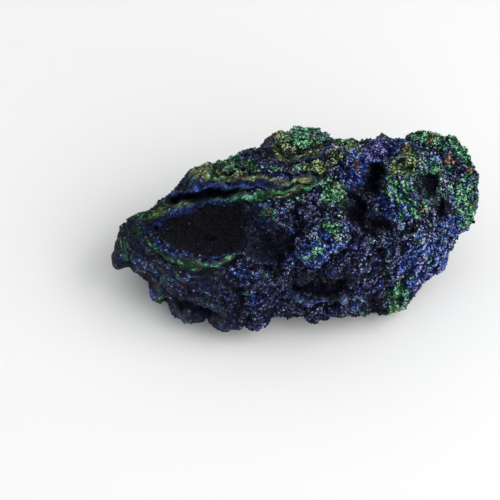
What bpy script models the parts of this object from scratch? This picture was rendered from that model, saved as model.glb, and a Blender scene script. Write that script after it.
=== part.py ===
"""Raw azurite malachite: one rough stone with stacked ledges, a slit, pits, knobs and a large hollow,
whose crystal lining is a node of its own. Metres, +Z up, length along X, origin at the middle of the
underside."""

from math import cos, pi, radians, sin

import bmesh
import bpy
import numpy as np
from mathutils import Matrix

MM = 0.001

# Driving dimensions, in millimetres.
HALF_LENGTH = 44.0
INSET = 0.6  # the plain body lies this far inside the outline, for lumps and grains to stand on
TILT = radians(45)  # the open face looks up and forward at this angle
TURN = radians(-8)  # turns the finished form so that its length lies along X
LIFT = 14.0  # the middle of the open face is this far up the face from the floor
SQUARENESS = 2.4  # exponent of the cross sections: 2 is an ellipse
FLATNESS = 0.88  # height of a cross section over its depth
CRUST = 1.1  # thickness of the hollow's crystal lining
GAP = 0.35  # clear space between the lining and the rock
HOLLOW_DEPTH = 14.0
CLEARANCE = 9.0  # how far the space that is cut out for the hollow runs above its mouth
HOLLOW_SLANT = (0.1, -0.1)  # the hollow runs this far across and up for each unit of depth

# The body seen square on to its open face: place along it, lower edge, upper edge.
OUTLINE = (
    (-43, -8.5, -1), (-39, -10.7, 4), (-34, -14, 6.7), (-28, -19.4, 10.8), (-21, -21.8, 14.7),
    (-14, -22.4, 17.7), (-6, -21.3, 19.3), (4, -20.8, 20.5), (14, -20.8, 21.8), (22, -18.8, 22),
    (29, -15, 21), (35, -9.3, 20), (40, -2.8, 17.5), (43, 1.5, 14.5),
)
# Place along the body and height of its underside above the floor.
UNDERSIDE = (
    (-45, 10), (-38, 6.5), (-31, 2.5), (-24, 0), (-12, 0), (0, 0.6), (12, 0), (22, 0), (29, 1.5),
    (36, 6), (45, 17),
)
# Mouth of the large hollow, on the open face: across, up.
MOUTH = (
    (-34, 1), (-31, 2.5), (-25, 4), (-23, 5.5), (-19, 6), (-14, 5.5), (-12.5, 3.5), (-12.5, -3),
    (-14, -5), (-20, -6.5), (-25, -6), (-30, -3.5), (-33, -1),
)
HOLLOW_MIDDLE = (-22, -0.5)
MOUTH_LEVEL = 23.0  # the face stands out this far at the hollow's middle
MOUTH_SLOPE = (0.54, -0.53)  # and rises by this much for each millimetre across and up

# Layers of the stone that end in a lip: path on the open face from left to right, height of the lip,
# how far it hangs over, depth of the groove below it.
LEDGES = {
    "hollow rim": (
        ((-40, 2.5), (-35, 3.5), (-30, 5), (-26, 6.5), (-22, 7.5), (-18, 8), (-14, 7), (-11, 6)),
        1.2, 0.3, 0.3),
    "slit roof": (
        ((-32, 7.5), (-28, 9), (-24, 10), (-20, 10.8), (-15, 11), (-10, 11), (-5, 10), (0, 9.5)),
        1.6, 0.4, 0.8),
    "pale rim": (
        ((-27, 11.5), (-22, 12.5), (-17, 13), (-12, 13.2), (-8, 12.6), (-4, 11.3), (1, 11.6), (5, 13)),
        1.2, 0.7, 1.2),
    "shoulder": (
        ((-27, 13), (-22, 14.5), (-16, 15.8), (-11, 15.6), (-7, 14.2), (0, 14), (6, 15), (10, 16)),
        1.3, 0.6, 1.0),
    "crest": (((-20, 17.2), (-14, 18.6), (-8, 18.4), (-3, 16.8), (3, 17), (9, 18)), 0.9, 0.5, 0.9),
    "green roll": (
        ((-13, 7.5), (-10.5, 6.5), (-8.5, 7.5), (-5, 8.5), (-1, 8.5), (2.5, 9.7), (5.5, 11.5), (8, 12.5)),
        1.9, 0.5, 1.6),
    "hollow sill": (
        ((-36, -2), (-33, -5), (-29.5, -7.2), (-26, -8.4), (-22, -8.6), (-18, -7.8), (-14, -6)),
        0.8, 0.5, 0.7),
    "lower shelf": (((-4, -14.5), (1, -15), (7, -15.5), (13, -15), (18, -13.5)), 1.2, -0.8, 0.0),
    "base shelf": (((-2, -17.5), (4, -17), (10, -17.5), (16, -18)), 0.8, 0.4, 0.8),
    "flank shelf": (((-35, -11), (-29, -14.5), (-23, -17), (-16, -19)), 0.9, 0.7, 1.3),
}
# Narrow clefts on the open face: path, half width, depth.
CLEFTS = {
    "slit": (((-32, 6.6), (-28, 7.6), (-24, 8.3), (-20, 9), (-16, 9.6), (-13, 10)), 1.2, 6.0),
    "under ledge": (((-2, -12.6), (4, -13), (9, -13.2), (14, -12.3)), 2.1, 5.0),
    "recess": (((-9.5, 4.5), (-8, -1), (-7, -6), (-2, -9)), 2.0, 1.6),
    "flank crevice": (((-29, -15.5), (-25, -17.5), (-20, -20)), 0.8, 2.2),
    "boulder foot": (((22, 15), (18, 11), (14.5, 6), (15, 2), (21, 0.5)), 2.0, 3.0),
}
# Rounded swellings: side, across, up, half sizes across and up, turn in degrees, height, fullness of
# the edge.
LUMPS = (
    ("crest", 0.5, -4, 9, 7, 0, 3.6, 0.45), ("crest", 3, -5, 4.5, 4, 0, 1.6, 0.5),
    ("crest", -6, -2, 3.5, 4, 0, 0.9, 0.5), ("crest", 34, -2, 6.5, 6.5, 0, 3.2, 0.45),
    ("crest", 39, -1, 3, 4, 0, 1.5, 0.5), ("crest", -17, -4, 9, 5, 10, 1.6, 0.7),
    ("face", 5.5, -3, 6.6, 5.0, 20, 5.2, 0.5), ("face", 9.5, -0.5, 3.6, 3.2, 0, 1.2, 0.6),
    ("face", 32, 9, 13.5, 12.5, 0, 2.8, 0.8), ("face", 13, -8.5, 5, 3.4, 0, 2.2, 0.7),
    ("face", -7, 3, 3.6, 2.4, 0, 2.2, 0.6), ("face", 8, 8, 4.2, 3.4, 20, 2.4, 0.6),
    ("face", 15, 17, 4.2, 3.6, 0, 2.2, 0.7), ("face", 20.5, 20.5, 3.6, 2.4, 0, 1.8, 0.7),
    ("face", 26.5, 19, 3.6, 2, 0, 1.2, 0.7), ("face", 17.5, -3, 2.6, 2.4, 0, 1.6, 0.6),
    ("face", 25.5, -16.5, 4, 3.6, 0, 1.6, 0.6), ("face", -8, -13, 7, 4, 0, 1.6, 0.8),
    ("face", -33.5, -14.5, 2.4, 2.4, 0, 2.8, 0.5), ("face", -28, -20, 6.5, 3.2, -10, 3.0, 0.6),
    ("face", -17, -21.5, 4, 2.6, 0, 2.2, 0.6), ("face", -13.5, -24, 2.6, 2.4, 0, 2.8, 0.6),
    ("face", -9, -22, 4, 2.4, 15, 2.4, 0.6), ("face", 5.5, -21.5, 3.6, 2, 0, 2.2, 0.6),
    ("face", 35.5, -7, 2.6, 2.4, 0, 0.9, 0.6), ("face", -43, -7, 2.2, 2.6, 0, 1.8, 0.6),
    ("face", -24.5, 13.5, 4, 3, 15, 2.8, 0.6), ("face", 40, 8, 5, 7, 0, 0.6, 0.7),
    ("back", 20, 6, 11, 8, 15, 3.0, 0.8), ("back", -14, 2, 12, 7, -10, 2.6, 0.8),
    ("back", 3, -8, 7, 5, 0, 2.2, 0.7), ("back", 33, 2, 6, 6, 0, 2.4, 0.7),
    ("back", -31, -1, 6, 5, 0, 2.2, 0.7), ("heel", 26, 4, 6, 5, 0, 1.6, 0.7),
)
# Rounded hollows, given like the lumps.
PITS = (
    ("face", 19.2, 12.4, 2.8, 3.6, -25, 5.0, 0.9), ("face", 14, 5, 3.0, 4.6, 15, 4.5, 0.8),
    ("face", 20, 2, 3.6, 1.8, -20, 2.2, 0.9), ("face", -4.5, -3.5, 4.4, 4.6, 0, 4.4, 0.9),
    ("face", 31.5, 9, 3.4, 3.0, 20, 3.8, 0.9), ("face", 35.5, 4.6, 2.0, 3.0, 0, 3.4, 0.9),
    ("face", 19.5, -17.5, 3.2, 2.4, -40, 2.6, 0.9), ("face", -1.8, -21.4, 2.8, 2.4, 0, 3.0, 0.9),
    ("face", 27.5, 13.5, 1.4, 1.2, 0, 1.2, 0.9), ("face", -13, -14.8, 2.0, 1.4, 0, 1.4, 0.9),
    ("face", 1.5, 4.8, 2.0, 1.2, 15, 1.6, 0.9), ("back", 8, 3, 4.0, 3.0, 20, 3.0, 0.9),
    ("back", -24, 5, 3.0, 2.2, 0, 2.2, 0.9), ("back", 28, -6, 3.4, 2.4, 0, 2.4, 0.9),
    ("crest", 18, 3, 3, 2.4, 0, 2.0, 0.9),
)

# Roughness of the whole stone: size, height or depth, seed, and for the knobs how far their rows are
# bent.
WAVES = (9, 1.1, 3)
RIDGES = (6.5, 1.6, 7)
KNOBS = ((5.2, 0.9, 21, 0.6), (2.4, 0.62, 31, 0.5))
POCKS = ((4.6, 1.7, 81), (2.5, 1.0, 85))
FINEST_GRAIN = (1.05, 0.22, 41)
# Layers stepped back beside the pale rim, and thin laminae round the left end of the hollow: spacing,
# height.
STEPS = (1.7, 0.9)
LAMINAE = (1.5, 0.4)

# Directions across, up and out of each side of the stone. Up is counted from the body's middle on crest
# and heel.
SIDES = {
    "face": ((1, 0, 0), (0, sin(TILT), cos(TILT)), (0, -cos(TILT), sin(TILT))),
    "crest": ((1, 0, 0), (0, -cos(TILT), sin(TILT)), (0, sin(TILT), cos(TILT))),
    "back": ((1, 0, 0), (0, sin(TILT), cos(TILT)), (0, cos(TILT), -sin(TILT))),
    "heel": ((1, 0, 0), (0, -cos(TILT), sin(TILT)), (0, -sin(TILT), -cos(TILT))),
}


def smooth(low, high, value):
    """0 below low, 1 above high and an S curve between."""
    t = np.clip((value - low) / (high - low), 0, 1)
    return t * t * (3 - 2 * t)


def scatter(i, j, k, seed):
    """A fixed random number from 0 to 1 for each whole-number place i, j, k."""
    mixed = (i * 374761393 + j * 668265263 + k * 1442695041 + seed * 974634777) & 0xFFFFFFFF
    mixed = ((mixed ^ (mixed >> 13)) * 1274126177) & 0xFFFFFFFF
    return ((mixed ^ (mixed >> 16)) & 0xFFFFFF) / 0x1000000


def noise(points, size, seed=0):
    """Value noise from -1 to 1: random numbers on a cubic lattice of this size, blended between its
    corners."""
    places = points / size
    low = np.floor(places).astype(np.int64)
    part = places - low
    part = part * part * (3 - 2 * part)
    total = 0
    for corner in np.ndindex(2, 2, 2):
        share = np.prod(np.where(corner, part, 1 - part), axis=-1)
        total = total + share * scatter(*np.moveaxis(low + corner, -1, 0), seed)
    return 2 * total - 1


def layered_noise(points, size, layers, seed=0):
    """Noise added to itself at half the size and half the height for each further layer."""
    return sum(noise(points, size / 2**n, seed + n) / 2**n for n in range(layers))


def cells(points, size, seed=0):
    """Cellular noise with one random centre in each cube of this size: distance to the nearest centre
    and the further distance to the next, both in cubes, and a random number and direction for the
    nearest."""
    places = points / size
    low = np.floor(places).astype(np.int64)
    nearest = np.full(places.shape[:-1], 9.0)
    second = nearest.copy()
    number = np.zeros_like(nearest)
    tilt = np.zeros_like(places)
    for step in np.ndindex(3, 3, 3):
        cube = np.moveaxis(low + np.array(step) - 1, -1, 0)
        offset = np.stack([cube[axis] + scatter(*cube, seed + axis) for axis in range(3)], -1) - places
        distance = np.linalg.norm(offset, axis=-1)
        closer = distance < nearest
        second = np.where(closer, nearest, np.minimum(second, distance))
        number = np.where(closer, scatter(*cube, seed + 3), number)
        tilt = np.where(closer[..., None], offset, tilt)
        nearest = np.where(closer, distance, nearest)
    return nearest, second - nearest, number, tilt


def bumps(points, size, seed=0):
    """Rounded grains that touch each other in narrow cracks: domes, 1 - distance^2, less a sharp dip on
    the seams."""
    nearest, gap, number, _ = cells(points, size, seed)
    return (1 - 1.3 * nearest**2) * (0.5 + 0.5 * number) - 0.5 * np.exp(-gap / 0.09)


def curve(corners, steps=6):
    """Points along a smooth line through the corners: a Catmull-Rom cubic between each pair."""
    p = np.array(corners, float)
    p = np.concatenate([[2 * p[0] - p[1]], p, [2 * p[-1] - p[-2]]])
    t = (np.arange(steps) / steps)[:, None]
    spans = []
    for a, b, c, d in zip(p, p[1:], p[2:], p[3:]):
        bent = (2 * a - 5 * b + 4 * c - d) * t**2 + (3 * b - a - 3 * c + d) * t**3
        spans.append((2 * b + (c - a) * t + bent) / 2)
    return np.concatenate([*spans, p[-2:-1]])


def table_value(x, rows, column):
    """The table's column at x, on a cubic between neighbouring rows."""
    table = np.array(rows, float)
    xs, ys = table[:, 0], table[:, column]
    slopes = np.gradient(ys, xs)
    x = np.clip(x, xs[0], xs[-1])
    i = np.clip(np.searchsorted(xs, x) - 1, 0, len(xs) - 2)
    width = xs[i + 1] - xs[i]
    t = (x - xs[i]) / width
    ends = (1 + 2 * t) * (1 - t) ** 2 * ys[i] + t * t * (3 - 2 * t) * ys[i + 1]
    return ends + width * t * (1 - t) * ((1 - t) * slopes[i] - t * slopes[i + 1])


def beside_path(across, up, path):
    """Distance to the line through the path, plus above it and minus below, and the share of its
    length, 0 to 1."""
    line = curve(path)
    best = np.full(np.shape(across), 1e9)
    share = np.zeros(np.shape(across))
    for k, (a, b) in enumerate(zip(line, line[1:])):
        run = b - a
        t = np.clip(((across - a[0]) * run[0] + (up - a[1]) * run[1]) / (run @ run), 0, 1)
        dx, dy = across - a[0] - t * run[0], up - a[1] - t * run[1]
        signed = np.hypot(dx, dy) * np.where(run[0] * dy - run[1] * dx < 0, -1, 1)
        closer = np.abs(signed) < np.abs(best)
        best = np.where(closer, signed, best)
        share = np.where(closer, (k + t) / (len(line) - 1), share)
    return best, share


def mouth_distance(across, up):
    """Distance to the hollow's mouth outline, plus inside it and minus outside."""
    loop = curve([*MOUTH, MOUTH[0]], 4)
    best = np.full(np.shape(across), 1e9)
    inside = np.zeros(np.shape(across), bool)
    for a, b in zip(loop, loop[1:]):
        run = b - a
        t = np.clip(((across - a[0]) * run[0] + (up - a[1]) * run[1]) / (run @ run), 0, 1)
        best = np.minimum(best, np.hypot(across - a[0] - t * run[0], up - a[1] - t * run[1]))
        crossing = a[0] + run[0] * (up - a[1]) / (run[1] if run[1] else 1e-9)
        inside ^= ((a[1] > up) != (b[1] > up)) & (across < crossing)
    return np.where(inside, best, -best)


def body(u, v):
    """Plain body: u runs from the left tip, 0, to the right tip, pi, and v goes round. A cross section
    is a superellipse whose edges, seen square on to the open face, meet the outline. Returns points,
    outward directions and the middle of each section measured along the crest's up direction."""
    x = -HALF_LENGTH * np.cos(u)
    rows = np.array(OUTLINE, float)
    rounding = np.sqrt(1 - (rows[:, 0] / HALF_LENGTH) ** 2)
    half_heights = ((rows[:, 2] - rows[:, 1]) / 2 - INSET) / rounding
    reaches = np.stack([rows[:, 0], half_heights, (rows[:, 2] + rows[:, 1]) / 2], 1)
    reach = table_value(x, reaches, 1) * np.sin(u)
    dual = SQUARENESS / (SQUARENESS - 1)
    depth = reach / (sin(TILT) ** dual + (FLATNESS * cos(TILT)) ** dual) ** (1 / dual)
    middle_z = table_value(x, UNDERSIDE, 1) + FLATNESS * depth
    middle_y = (table_value(x, reaches, 2) + LIFT - middle_z * cos(TILT)) / sin(TILT)
    round_y = np.sign(np.cos(v)) * np.abs(np.cos(v)) ** (2 / SQUARENESS)
    round_z = np.sign(np.sin(v)) * np.abs(np.sin(v)) ** (2 / SQUARENESS)
    points = np.stack([x, middle_y + depth * round_y, middle_z + FLATNESS * depth * round_z], -1)
    power = SQUARENESS - 1
    out = np.stack([1.2 * np.sign(x) * np.abs(x / HALF_LENGTH) ** 6,
                    np.sign(round_y) * np.abs(round_y) ** power,
                    np.sign(round_z) * np.abs(round_z) ** power / FLATNESS], -1)
    out /= np.linalg.norm(out, axis=-1, keepdims=True)
    return points, out, middle_z * sin(TILT) - middle_y * cos(TILT)


def seen_from(side, points, out, middle):
    """Across, up and how squarely the surface faces this side, for points on the body."""
    across, up, outward = (np.array(direction) for direction in SIDES[side])
    return points @ across, points @ up - (LIFT if side in ("face", "back") else middle), out @ outward


def swelling(view, at_across, at_up, half_across, half_up, turn, fullness):
    """A dome of height 1 over an ellipse: (1 - q^2)^fullness, q being 1 on its edge, on surfaces facing
    this side."""
    across, up, facing = view
    dx, dy = across - at_across, up - at_up
    a = radians(turn)
    q = np.hypot((dx * cos(a) + dy * sin(a)) / half_across, (dy * cos(a) - dx * sin(a)) / half_up)
    return np.maximum(1 - q * q, 0) ** fullness * smooth(-0.2, 0.1, facing)


def domes(points, views):
    """Heights of the lumps less the depths of the pits: along the outward direction, and straight out
    of the open face, into which its pits are sunk. Noise makes the pits uneven."""
    rise = np.zeros(np.shape(points)[:-1])
    level = np.zeros(np.shape(points)[:-1])
    for side, *place, height, fullness in LUMPS:
        rise += height * swelling(views[side], *place, fullness)
    for side, *place, depth, fullness in PITS:
        pit = depth * swelling(views[side], *place, fullness) * (1 + 0.35 * noise(points, 2.4, 91))
        if side == "face":
            level -= pit
        else:
            rise -= pit
    return rise, level


def ledges_and_clefts(points, view):
    """How far the ledges and clefts move the open face out, and how far the lips hang down. A lip falls
    off sharply below its path and gently above it, 1 / (1 + d^2), with a groove below. A cleft is 1 /
    (1 + d^4) deep."""
    across, up, facing = view
    front = smooth(-0.1, 0.12, facing)
    level = np.zeros(np.shape(across))
    droop = np.zeros(np.shape(across))
    for path, height, overhang, groove in LEDGES.values():
        beside, share = beside_path(across, up, path)
        ends = smooth(0, 0.1, share) * smooth(0, 0.1, 1 - share) * front
        ends = ends * (0.8 + 0.4 * noise(points, 3.5, 61))
        lip = np.where(beside > 0, 1 / (1 + (beside / 1.5) ** 2), np.exp(-((beside / 0.45) ** 2)))
        level += ends * (height * lip - groove * np.exp(-(((beside + 1.1) / 0.6) ** 2)))
        droop += ends * overhang * np.exp(-((beside / 0.9) ** 2))
    for path, half_width, depth in CLEFTS.values():
        beside, share = beside_path(across, up, path)
        ends = smooth(0, 0.15, share) * smooth(0, 0.15, 1 - share) * front
        ends = ends * (1 + 0.4 * noise(points, 2.8, 92))
        level -= ends * depth / (1 + (beside / half_width) ** 4)
    return level, droop


def flank_laminae(points, view):
    """Where the flank left of the hollow is laminated, 0 to 1, and a triangle wave across its laminae,
    which run parallel to the hollow's mouth."""
    across, up, facing = view
    spacing, _ = LAMINAE
    rings = -mouth_distance(across, up) + 0.9 * noise(points, 5, 71)
    share = smooth(9, 18, -across - 0.2 * np.abs(up)) * smooth(0.8, 2.5, rings)
    share = share * smooth(-0.1, 0.12, facing)
    return share, np.abs((rings / spacing) % 1 - 0.5) * 2 - 0.5


def stepped_layers(points, view):
    """Where the stone is stepped beside the pale rim, 0 to 1, and the steps, 0 to 1 in each layer."""
    across, up, facing = view
    spacing, _ = STEPS
    beside, _ = beside_path(across, up, LEDGES["pale rim"][0])
    share = smooth(-34, -27, across) * smooth(-13, -4, -across) * smooth(-7, -4.5, -np.abs(beside - 1.5))
    steps = smooth(0.1, 0.7, (beside + 0.8 * noise(points, 4, 74)) / spacing % 1)
    return share * smooth(-0.1, 0.12, facing), steps


def roughness(points, wobble):
    """Height of the stone's roughness: slow waves, sharp ridges from folded noise, knobs with cracks
    between them, and pocks sunk in about two fifths of their cells."""
    size, height, seed = WAVES
    rough = height * layered_noise(points, size, 2, seed)
    size, height, seed = RIDGES
    rough = rough + 0.5 - height * np.abs(layered_noise(points + wobble, size, 3, seed))
    for size, height, seed, bend in KNOBS:
        rough += height * (bumps(points + bend * wobble, size, seed) - 0.15)
    for size, depth, seed in POCKS:
        nearest, _, number, _ = cells(points + 1.6 * wobble, size, seed)
        rough -= depth * smooth(0.55, 0.7, number) * np.maximum(1 - nearest / 0.42, 0) ** 0.6
    return rough


def surface(u, v):
    """The stone's surface, in millimetres, before its hollow is cut. Lumps and roughness stand out of
    the plain body along its outward direction. Pits, ledges and clefts of the open face are drawn on it
    and go straight in or out. Returns points, outward directions and the place on the face."""
    points, out, middle = body(u, v)
    wobble = np.stack([layered_noise(points, 6.5, 3, seed) + 0.35 * noise(points, 1.7, seed + 1)
                       for seed in (11, 16, 21)], -1)
    views = {side: seen_from(side, points + wobble, out, middle) for side in SIDES}
    rise, level = domes(points, views)
    moved, droop = ledges_and_clefts(points, views["face"])
    laminated, wave = flank_laminae(points, views["face"])
    stepped, steps = stepped_layers(points, views["face"])
    level += moved + STEPS[1] * stepped * steps
    rise += LAMINAE[1] * laminated * wave
    calm = smooth(0, 0.35, np.sin(u)) * (1 - 0.45 * np.maximum(laminated, stepped))
    size, height, seed = FINEST_GRAIN
    rise += calm * roughness(points, wobble) + height * bumps(points, size, seed)
    _, up_axis, outward = (np.array(direction) for direction in SIDES["face"])
    points = points + out * rise[..., None] + outward * level[..., None] - up_axis * droop[..., None]
    return points, out, views["face"]


def hollow(around, below, grow=0.0):
    """The large hollow's wall, as places across and up the face and a depth under it. Around is the
    angle round the mouth. Below runs from -1, well clear of the face, by 0, at the mouth, to 1, at the
    bottom. The mouth's outline is scaled by an ellipse's profile that bulges under the lip: sqrt(1 -
    b^2)^0.8 * (1 + 0.2 sin(pi b))."""
    loop = curve([*MOUTH, MOUTH[0]], 4)[:-1] - HOLLOW_MIDDLE
    angles = np.arctan2(loop[:, 1], loop[:, 0])
    radius = np.interp(around, angles, np.hypot(loop[:, 0], loop[:, 1]), period=2 * pi) + grow
    inside = np.clip(below, 0, 1)
    width = np.sqrt(1 - inside**2) ** 0.8 * (1 + 0.2 * np.sin(pi * inside))
    width = width * np.sqrt(1 - np.clip(-below, 0, 1) ** 8)
    depth = inside * (HOLLOW_DEPTH + grow) + np.minimum(below, 0) * CLEARANCE
    across = HOLLOW_MIDDLE[0] + np.cos(around) * radius * width + HOLLOW_SLANT[0] * inside * HOLLOW_DEPTH
    up = HOLLOW_MIDDLE[1] + np.sin(around) * radius * width + HOLLOW_SLANT[1] * inside * HOLLOW_DEPTH
    return across, up, depth


def mouth_level(across, up):
    """How far the face stands out near the hollow: a plane."""
    slope_across, slope_up = MOUTH_SLOPE
    return MOUTH_LEVEL + slope_across * (across - HOLLOW_MIDDLE[0]) + slope_up * (up - HOLLOW_MIDDLE[1])


def on_face(across, up, level):
    """The point this far across, up and out of the open face."""
    axes = [np.array(direction) for direction in SIDES["face"]]
    return sum(np.asarray(part)[..., None] * axis for part, axis in zip((across, up + LIFT, level), axes))


def facets(points, size, seed=0):
    """Heights of flat crystal faces: each cell of the cellular noise is a plane tilted its own way, 0
    to about 1."""
    _, _, number, offset = cells(points, size, seed)
    lean = 2 * pi * number
    tilt = np.stack([np.cos(lean), np.sin(lean), np.cos(3 * lean)], -1)
    return np.clip(0.5 + 0.7 * (offset * tilt).sum(-1), 0, 1)


COLLECTION = "raw azurite malachite"
# Divisions round and down each body before it is remeshed or cut.
ROCK_GRID = (300, 240)
CRUST_GRID = (44, 26)
OPEN_HOLLOW_GRID = (96, 60)
HOLLOW_CUT_GRID = (40, 24)
REMESH_SIZE = 0.6
CRUST_REMESH_SIZE = 0.3
ROCK_FACES = 7100
CRUST_FACES = 1400
CRYSTAL_SIZE = 1.9
CRYSTAL_HEIGHT = 0.8
CRYSTAL_SEED = 91
STONE_FINISH = ((0.03, 0.05, 0.12), 0.6)  # colour and roughness
CRUST_FINISH = ((0.012, 0.016, 0.08), 0.35)


def clear_scene():
    for old in list(bpy.data.objects):
        bpy.data.objects.remove(old)


def collection(name):
    made = bpy.data.collections.new(name)
    bpy.context.scene.collection.children.link(made)
    return made


def stone_material(name, colour, roughness):
    material = bpy.data.materials.new(name)
    material.use_nodes = True
    shader = material.node_tree.nodes["Principled BSDF"]
    shader.inputs["Base Color"].default_value = (*colour, 1)
    shader.inputs["Roughness"].default_value = roughness
    shader.inputs["Metallic"].default_value = 0
    return material


def sphere_moved(name, target, divisions, place):
    """A sphere primitive whose points are moved by place(around, down): around its axis from 0 to 2 pi,
    and down from the top pole, 0, to the bottom pole, pi. Place returns millimetres."""
    segments, rings = divisions
    mesh = bpy.data.meshes.new(name)
    shape = bmesh.new()
    bmesh.ops.create_uvsphere(shape, u_segments=segments, v_segments=rings, radius=1)
    shape.to_mesh(mesh)
    shape.free()
    flat = np.empty(len(mesh.vertices) * 3)
    mesh.vertices.foreach_get("co", flat)
    unit = flat.reshape(-1, 3)
    around = np.arctan2(unit[:, 1], unit[:, 0])
    down = np.arccos(np.clip(unit[:, 2], -1, 1))
    mesh.vertices.foreach_set("co", (place(around, down) * MM).ravel())
    mesh.update()
    face_outwards(mesh)
    made = bpy.data.objects.new(name, mesh)
    target.objects.link(made)
    return made


def face_outwards(mesh):
    shape = bmesh.new()
    shape.from_mesh(mesh)
    if shape.calc_volume(signed=True) < 0:
        bmesh.ops.reverse_faces(shape, faces=shape.faces)
    shape.to_mesh(mesh)
    shape.free()


def helper(made):
    made.hide_render = True
    made.display_type = "WIRE"
    return made


def add_boolean(made, operation, other):
    boolean = made.modifiers.new(f"{operation.lower()} {other.name}", "BOOLEAN")
    boolean.operation = operation
    boolean.solver = "EXACT"
    boolean.object = other


def add_remesh(made, size):
    remesh = made.modifiers.new("even mesh", "REMESH")
    remesh.mode = "VOXEL"
    remesh.voxel_size = size * MM


def apply_modifiers(made):
    """Replaces the object's mesh by its shape after the modifiers."""
    bpy.context.view_layer.update()
    graph = bpy.context.evaluated_depsgraph_get()
    shaped = bpy.data.meshes.new_from_object(made.evaluated_get(graph))
    made.modifiers.clear()
    made.data = shaped
    shaped.name = made.name


def thin_out(made, faces):
    """Decimates the object to about this many triangles."""
    made.data.calc_loop_triangles()
    decimate = made.modifiers.new("fewer faces", "DECIMATE")
    decimate.ratio = min(1, faces / len(made.data.loop_triangles))
    decimate.use_collapse_triangulate = True
    apply_modifiers(made)


def floor_block(target):
    """Everything below the floor, which cuts the stone's underside flat where it rests."""
    mesh = bpy.data.meshes.new("below the floor")
    shape = bmesh.new()
    side = 4 * HALF_LENGTH * MM
    bmesh.ops.create_cube(shape, size=side, matrix=Matrix.Translation((0, 0, -side / 2)))
    shape.to_mesh(mesh)
    shape.free()
    made = bpy.data.objects.new("below the floor", mesh)
    target.objects.link(made)
    return helper(made)


def stone_blank(target, helpers):
    """The whole stone, flat below, before its hollow is cut."""
    stone = sphere_moved("azurite_malachite_rock", target, ROCK_GRID,
                         lambda around, down: surface(down, around)[0])
    add_remesh(stone, REMESH_SIZE)
    apply_modifiers(stone)
    thin_out(stone, ROCK_FACES)
    add_boolean(stone, "DIFFERENCE", floor_block(helpers))
    apply_modifiers(stone)
    return stone


def hollow_space(name, target, divisions, grow, crystals=0.0):
    """The hollow as a solid that stands clear of its mouth, grown all round, with crystal faces raised
    inwards."""
    def place(around, down):
        below = -np.cos(down)
        across, up, depth = hollow(around, below, grow)
        points = on_face(across, up, mouth_level(across, up) - depth)
        inwards = crystals * facets(points, CRYSTAL_SIZE, CRYSTAL_SEED)
        across, up, depth = hollow(around, below, grow - inwards)
        return on_face(across, up, mouth_level(across, up) - depth)
    return helper(sphere_moved(name, target, divisions, place))


def crystal_crust(target, helpers, stone):
    """The lining: the hollow's space, trimmed level with the stone's face, less the open space inside
    it."""
    crust = hollow_space("hollow_crystal_crust", target, CRUST_GRID, CRUST)
    crust.hide_render = False
    crust.display_type = "TEXTURED"
    blank = stone.copy()
    blank.name = "stone before its hollow"
    helpers.objects.link(helper(blank))
    add_boolean(crust, "INTERSECT", blank)
    opening = hollow_space("open hollow", helpers, OPEN_HOLLOW_GRID, 0.0, CRYSTAL_HEIGHT)
    add_boolean(crust, "DIFFERENCE", opening)
    add_remesh(crust, CRUST_REMESH_SIZE)
    apply_modifiers(crust)
    thin_out(crust, CRUST_FACES)
    return crust


def settle(pieces):
    """Turns the pieces so that the length lies along X, and moves the middle of the underside to the
    origin."""
    for piece in pieces:
        piece.data.transform(Matrix.Rotation(TURN, 4, "Z"))
    corners = np.array([vertex.co for piece in pieces for vertex in piece.data.vertices])
    low, high = corners.min(axis=0), corners.max(axis=0)
    shift = Matrix.Translation((-(low[0] + high[0]) / 2, -(low[1] + high[1]) / 2, -low[2]))
    for piece in pieces:
        piece.data.transform(shift)
        piece.data.update()


def build():
    clear_scene()
    parts = collection(COLLECTION)
    helpers = collection("helpers")
    stone = stone_blank(parts, helpers)
    crust = crystal_crust(parts, helpers, stone)
    add_boolean(stone, "DIFFERENCE", hollow_space("hollow cut", helpers, HOLLOW_CUT_GRID, CRUST + GAP))
    apply_modifiers(stone)
    settle([stone, crust])
    stone.data.materials.append(stone_material("azurite and malachite", *STONE_FINISH))
    crust.data.materials.append(stone_material("dark azurite crystals", *CRUST_FINISH))
    for used in list(helpers.objects):
        bpy.data.objects.remove(used)


build()
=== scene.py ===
"""Looks of the raw azurite malachite: the stone's skin in full relief, the crystals of its crust, the
lining of its hollow, and the light, floor and camera. Forms are worked out in millimetres and placed in
the frame, whose lengths are in metres."""

from math import cos, pi, radians, sin

import bpy
import numpy as np
from mathutils import Matrix, Vector


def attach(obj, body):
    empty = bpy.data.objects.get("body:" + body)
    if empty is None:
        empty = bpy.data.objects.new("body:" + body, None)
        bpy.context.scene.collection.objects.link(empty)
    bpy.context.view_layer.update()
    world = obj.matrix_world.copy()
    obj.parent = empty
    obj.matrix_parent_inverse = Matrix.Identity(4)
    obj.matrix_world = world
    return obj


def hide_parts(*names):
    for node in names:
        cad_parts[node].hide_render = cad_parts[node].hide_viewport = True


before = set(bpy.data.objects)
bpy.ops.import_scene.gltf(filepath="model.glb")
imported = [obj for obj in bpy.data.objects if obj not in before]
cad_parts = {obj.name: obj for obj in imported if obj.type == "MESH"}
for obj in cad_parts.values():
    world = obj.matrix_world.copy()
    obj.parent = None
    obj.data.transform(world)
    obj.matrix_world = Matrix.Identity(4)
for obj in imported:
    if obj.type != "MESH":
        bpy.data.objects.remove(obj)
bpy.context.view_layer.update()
MM = 0.001

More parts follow.
